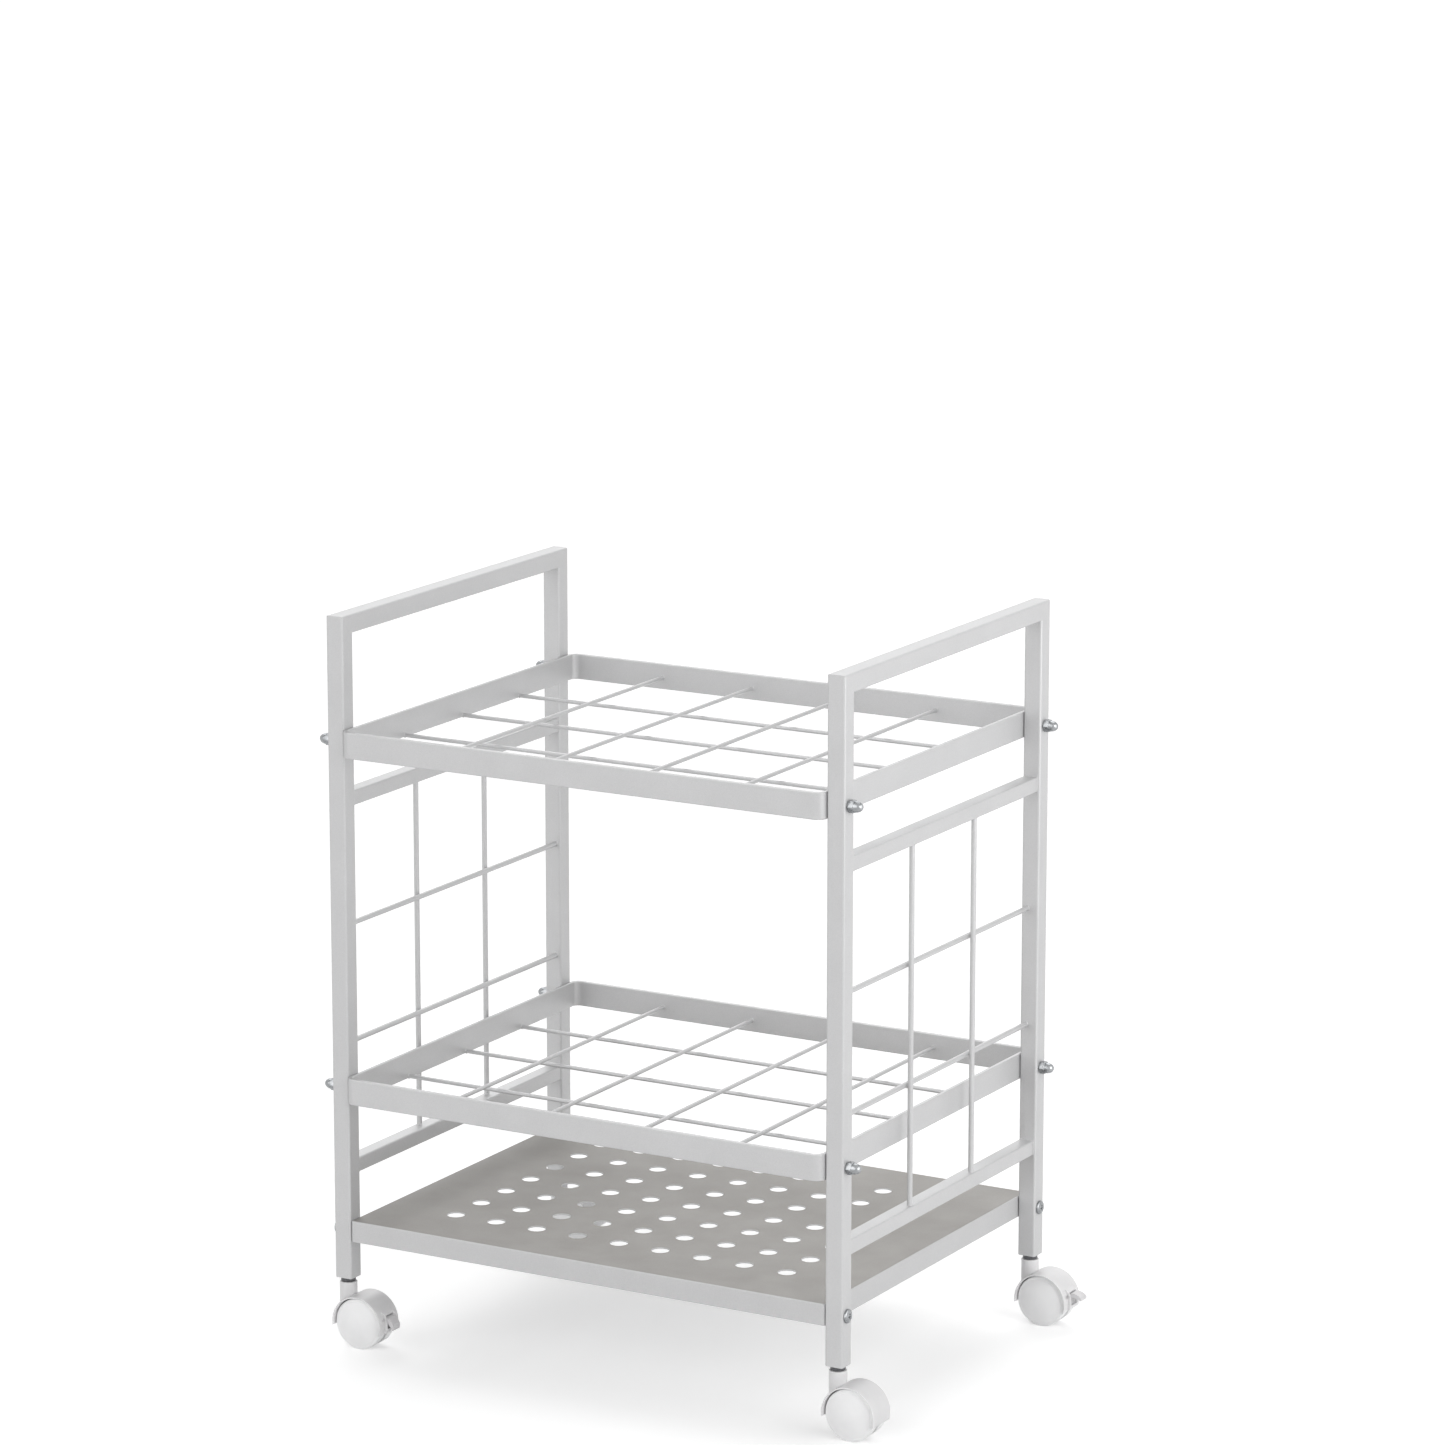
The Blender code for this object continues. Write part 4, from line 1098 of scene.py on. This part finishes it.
def housingSolid(braked):
    look = hoodLook
    centre = look["wellRadius"] + look["wall"] / 2
    half = look["width"] / 2
    web = look["web"] / 2
    over = meshLook["overrun"]
    body = combine(hoodBand(), rod(centre, -web, web, look["sides"], "Y"), "UNION")
    if braked:
        body = combine(body, brakeBand(centre), "UNION")
        body = combine(body, brakeWindow(), "DIFFERENCE")
        pivotX, pivotZ = pivotPoint()
        reach = brakeLook["width"]
        hole = rod(brakeLook["pin"] / 2 + brakeLook["sideClearance"], -reach, reach,
                   brakeLook["pinSides"], "Y")
        body = combine(body, moved(hole, pivotX, 0, pivotZ), "DIFFERENCE")
    far = look["wellRadius"] * 2
    below = easedPrism(undersideOutline(far), look["width"] + 2 * over)
    body = combine(body, below, "DIFFERENCE")
    radius = look["neckDiameter"] / 2
    edge = look["neckEdge"]
    profile = [(0, 0), (radius, 0)]
    profile += arcPoints(edge, 0, quarterTurn, look["neckEdgeSteps"],
                         (radius - edge, look["neckTop"] - edge))
    profile.append((0, look["neckTop"]))
    neck = moved(turned(profile, look["neckSides"]), x=-look["trail"])
    neck = combine(neck, rod(centre, -half, half, look["sides"], "Y"), "DIFFERENCE")
    body = combine(body, neck, "UNION")
    bore = [
        (0, look["neckTop"] + over),
        (look["stemLip"], look["neckTop"] + over),
        (look["stemLip"], look["pocketTop"]),
        (look["stemPocket"], look["pocketTop"]),
        (look["stemPocket"], look["pocketBottom"]),
        (0, look["pocketBottom"]),
    ]
    body = combine(body, moved(turned(bore, look["boreSides"]), x=-look["trail"]), "DIFFERENCE")
    seat = rod(look["axleSeat"], -half, half, look["boreSides"], "Y")
    return combine(body, seat, "DIFFERENCE")


def leverSolid():
    # drawn raised, about its own hinge: knuckle, brake cam and a ribbed tab
    look = brakeLook
    reach = look["reach"]
    rise = look["rise"]
    drop = look["tipDrop"]
    camAngle = look["pivotAngle"] + math.pi + look["travel"]
    ribEnd, tipShare = look["tipShares"]
    shape = [(reach * x, rise * z) for x, z in look["topShape"]]
    ribbed = []
    for x, z in smoothLine([(0, look["knuckle"]), *shape, (reach, -drop)], look["topSteps"]):
        share = (x / reach - look["ribStartShare"]) / (ribEnd - look["ribStartShare"])
        if 0 < share < 1:
            z -= look["ribHeight"] * math.cos(math.pi * look["ribCount"] * share) ** 2
        ribbed.append((x, z))
    outline = [
        *arcPoints(look["knuckle"], math.pi, quarterTurn, look["knuckleSteps"])[:-1],
        *ribbed,
        (reach * ribEnd, -drop - look["tipThickness"] * tipShare),
        *((reach * share, -look["bellyDrop"]) for share in look["bellyShares"]),
        (look["knuckle"] / 2, -look["knuckle"] * math.sqrt(3) / 2),
        (look["camReach"] * math.cos(camAngle), look["camReach"] * math.sin(camAngle)),
    ]
    tab = easedPrism(outline, look["width"], look["ease"], look["easeSteps"])
    pinHalf = look["width"] / 2 + look["sideClearance"] + look["earWidth"]
    pin = rod(look["pin"] / 2, -pinHalf, pinHalf, look["pinSides"], "Y")
    return combine(tab, pin, "UNION")


def stemSolid(length):
    look = stemLook
    pin = look["pin"] / 2
    collar = look["collar"] / 2
    edge = look["collarEdge"]
    steps = look["collarEdgeSteps"]
    collarTop = -look["collarSeat"]
    collarBottom = -look["fitGap"] - look["collarHeight"]
    headTop = collarBottom - look["neckLength"]
    headBottom = headTop - look["headHeight"]
    profile = [
        (0, length),
        (pin - look["taper"], length),
        (pin, length - look["taper"]),
        (pin, collarTop),
    ]
    profile += reversed(arcPoints(edge, 0, quarterTurn, steps, (collar - edge, collarTop - edge)))
    profile += arcPoints(edge, 0, -quarterTurn, steps, (collar - edge, collarBottom + edge))
    profile += [
        (look["neck"] / 2, collarBottom),
        (look["neck"] / 2, headTop),
        (pin, headTop),
        (pin, headBottom + look["taper"] / 2),
        (pin - look["taper"] / 2, headBottom),
        (0, headBottom),
    ]
    return turned(profile, look["sides"])


def buildCasters():
    wheelRadius = span("front_left_caster_front_wheel").z / 2
    wheel = meshFrom(wheelSolid(wheelRadius), "wheel")
    housings = {braked: meshFrom(housingSolid(braked), "housing") for braked in (False, True)}
    lever = meshFrom(leverSolid(), "lever")
    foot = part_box("front_left_post")[0].z
    stem = meshFrom(stemSolid(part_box("front_left_caster_stem")[1].z - foot), "stem")
    pivotX, pivotZ = pivotPoint()
    for corner in corners:
        axle = middle(f"{corner}_caster_axle")
        post = middle(f"{corner}_post")
        braked = f"{corner}_brake_lever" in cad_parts
        addPiece(f"{corner}_stem_turned", stem, "stem_steel", "frame", f"{corner}_caster_stem",
                 (post.x, post.y, foot))
        addPiece(f"{corner}_hood_moulding", housings[braked], "hood_plastic", f"{corner}_caster",
                 f"{corner}_caster_housing", axle)
        for place, turn in (("front", math.pi), ("back", 0)):
            addPiece(f"{corner}_{place}_wheel_moulding", wheel, "wheel_plastic",
                     f"{corner}_{place}_wheel", f"{corner}_caster_{place}_wheel", axle, (0, 0, turn))
        if braked:
            hang = axle.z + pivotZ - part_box(f"{corner}_brake_lever")[0].z
            pressed = hang > brakeLook["reach"] / 2
            addPiece(f"{corner}_lever_moulding", lever, "lever_plastic", f"{corner}_lever",
                     f"{corner}_brake_lever", (axle.x + pivotX, axle.y, axle.z + pivotZ),
                     (0, brakeLook["travel"] if pressed else 0, 0))


buildCasters()
print("casters built")


# CAD nodes that stay: the axles and the sockets inside the posts
keptNodes = {"_caster_axle": "stem_steel", "_stem_socket": "socket_plastic"}


def dressKeptNodes():
    for corner in corners:
        for ending, finish in keptNodes.items():
            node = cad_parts[corner + ending]
            node.data.materials.clear()
            node.data.materials.append(finishes[finish])


dressKeptNodes()
print("kept nodes dressed")


# Floor, light and camera
stageLook = {
    "floorSize": 80,
    "floorColour": (0.78, 0.78, 0.78),
    "floorGlow": 0.42,  # seen by the camera and in reflections, on top of the lit floor
    "worldLight": 0.3,
}
sunLook = {
    "rightKey": {"from": (0.9, -0.35, 0.25), "softness": 40, "strength": 0.9},
    "frontFill": {"from": (-0.3, -0.9, 0.3), "softness": 60, "strength": 1.2},
    "backTop": {"from": (-0.35, 0.5, 0.8), "softness": 50, "strength": 1.3},
}
panelLook = {"place": (1.0, 0.05, 0.68), "size": 0.9, "power": 3.6}  # close by on the right
cameraLook = {
    "place": (2.436742, -4.224666, 1.614171),
    "tilt": 77.648,
    "heading": 29.823,
    "lens": 145.88,
    "sensor": 36,
}


def seenByEye(tree):
    # 1 for what the camera, a mirror or a clear surface sees, 0 for what only lights
    path = tree.nodes.new("ShaderNodeLightPath")
    seen = path.outputs["Is Camera Ray"]
    for ray in ("Is Glossy Ray", "Is Transmission Ray"):
        either = tree.nodes.new("ShaderNodeMath")
        either.operation = "MAXIMUM"
        tree.links.new(seen, either.inputs[0])
        tree.links.new(path.outputs[ray], either.inputs[1])
        seen = either.outputs["Value"]
    return seen


def buildFloor():
    half = stageLook["floorSize"] / 2
    outline = [(-half, -half), (half, -half), (half, half), (-half, half)]
    bm = bmesh.new()
    bm.faces.new([bm.verts.new((x, y, 0)) for x, y in outline])
    floor = bpy.data.objects.new("floor", meshFrom(bm, "floor"))
    floor.location.z = cadLow.z
    bpy.context.scene.collection.objects.link(floor)
    material = bpy.data.materials.new("paleFloor")
    material.use_nodes = True
    tree = material.node_tree
    tree.nodes.remove(tree.nodes["Principled BSDF"])
    output = tree.nodes["Material Output"]
    matt = tree.nodes.new("ShaderNodeBsdfDiffuse")
    matt.inputs["Color"].default_value = (*stageLook["floorColour"], 1)
    glow = tree.nodes.new("ShaderNodeEmission")
    strength = tree.nodes.new("ShaderNodeMath")
    strength.operation = "MULTIPLY"
    strength.inputs[1].default_value = stageLook["floorGlow"]
    tree.links.new(seenByEye(tree), strength.inputs[0])
    tree.links.new(strength.outputs["Value"], glow.inputs["Strength"])
    both = tree.nodes.new("ShaderNodeAddShader")
    tree.links.new(matt.outputs["BSDF"], both.inputs[0])
    tree.links.new(glow.outputs["Emission"], both.inputs[1])
    tree.links.new(both.outputs["Shader"], output.inputs["Surface"])
    floor.data.materials.append(material)


def buildWorld():
    world = bpy.data.worlds.new("studio")
    bpy.context.scene.world = world
    world.use_nodes = True
    tree = world.node_tree
    light = tree.nodes["Background"]
    light.inputs["Color"].default_value = (1, 1, 1, 1)
    light.inputs["Strength"].default_value = stageLook["worldLight"]
    white = tree.nodes.new("ShaderNodeBackground")
    white.inputs["Color"].default_value = (1, 1, 1, 1)
    mix = tree.nodes.new("ShaderNodeMixShader")
    tree.links.new(seenByEye(tree), mix.inputs["Fac"])
    tree.links.new(light.outputs["Background"], mix.inputs[1])
    tree.links.new(white.outputs["Background"], mix.inputs[2])
    tree.links.new(mix.outputs["Shader"], tree.nodes["World Output"].inputs["Surface"])


def addLamp(name, data, place, away):
    lamp = bpy.data.objects.new(name, data)
    lamp.location = place
    lamp.rotation_euler = Vector(away).to_track_quat("Z", "Y").to_euler()
    bpy.context.scene.collection.objects.link(lamp)


def buildLamps():
    for name, look in sunLook.items():
        data = bpy.data.lights.new(name, "SUN")
        data.angle = math.radians(look["softness"])
        data.energy = look["strength"]
        addLamp(name, data, look["from"], look["from"])
    data = bpy.data.lights.new("rightPanel", "AREA")
    data.size = panelLook["size"]
    data.energy = panelLook["power"]
    place = Vector(panelLook["place"])
    addLamp("rightPanel", data, place, place - (cadLow + cadHigh) / 2)


def buildCamera():
    data = bpy.data.cameras.new("camera")
    data.lens = cameraLook["lens"]
    data.sensor_width = cameraLook["sensor"]
    camera = bpy.data.objects.new("camera", data)
    camera.location = cameraLook["place"]
    camera.rotation_euler = (math.radians(cameraLook["tilt"]), 0, math.radians(cameraLook["heading"]))
    bpy.context.scene.collection.objects.link(camera)
    bpy.context.scene.camera = camera


buildFloor()
buildWorld()
buildLamps()
buildCamera()
bpy.context.scene.view_settings.view_transform = "Standard"
print("stage, light and camera set")
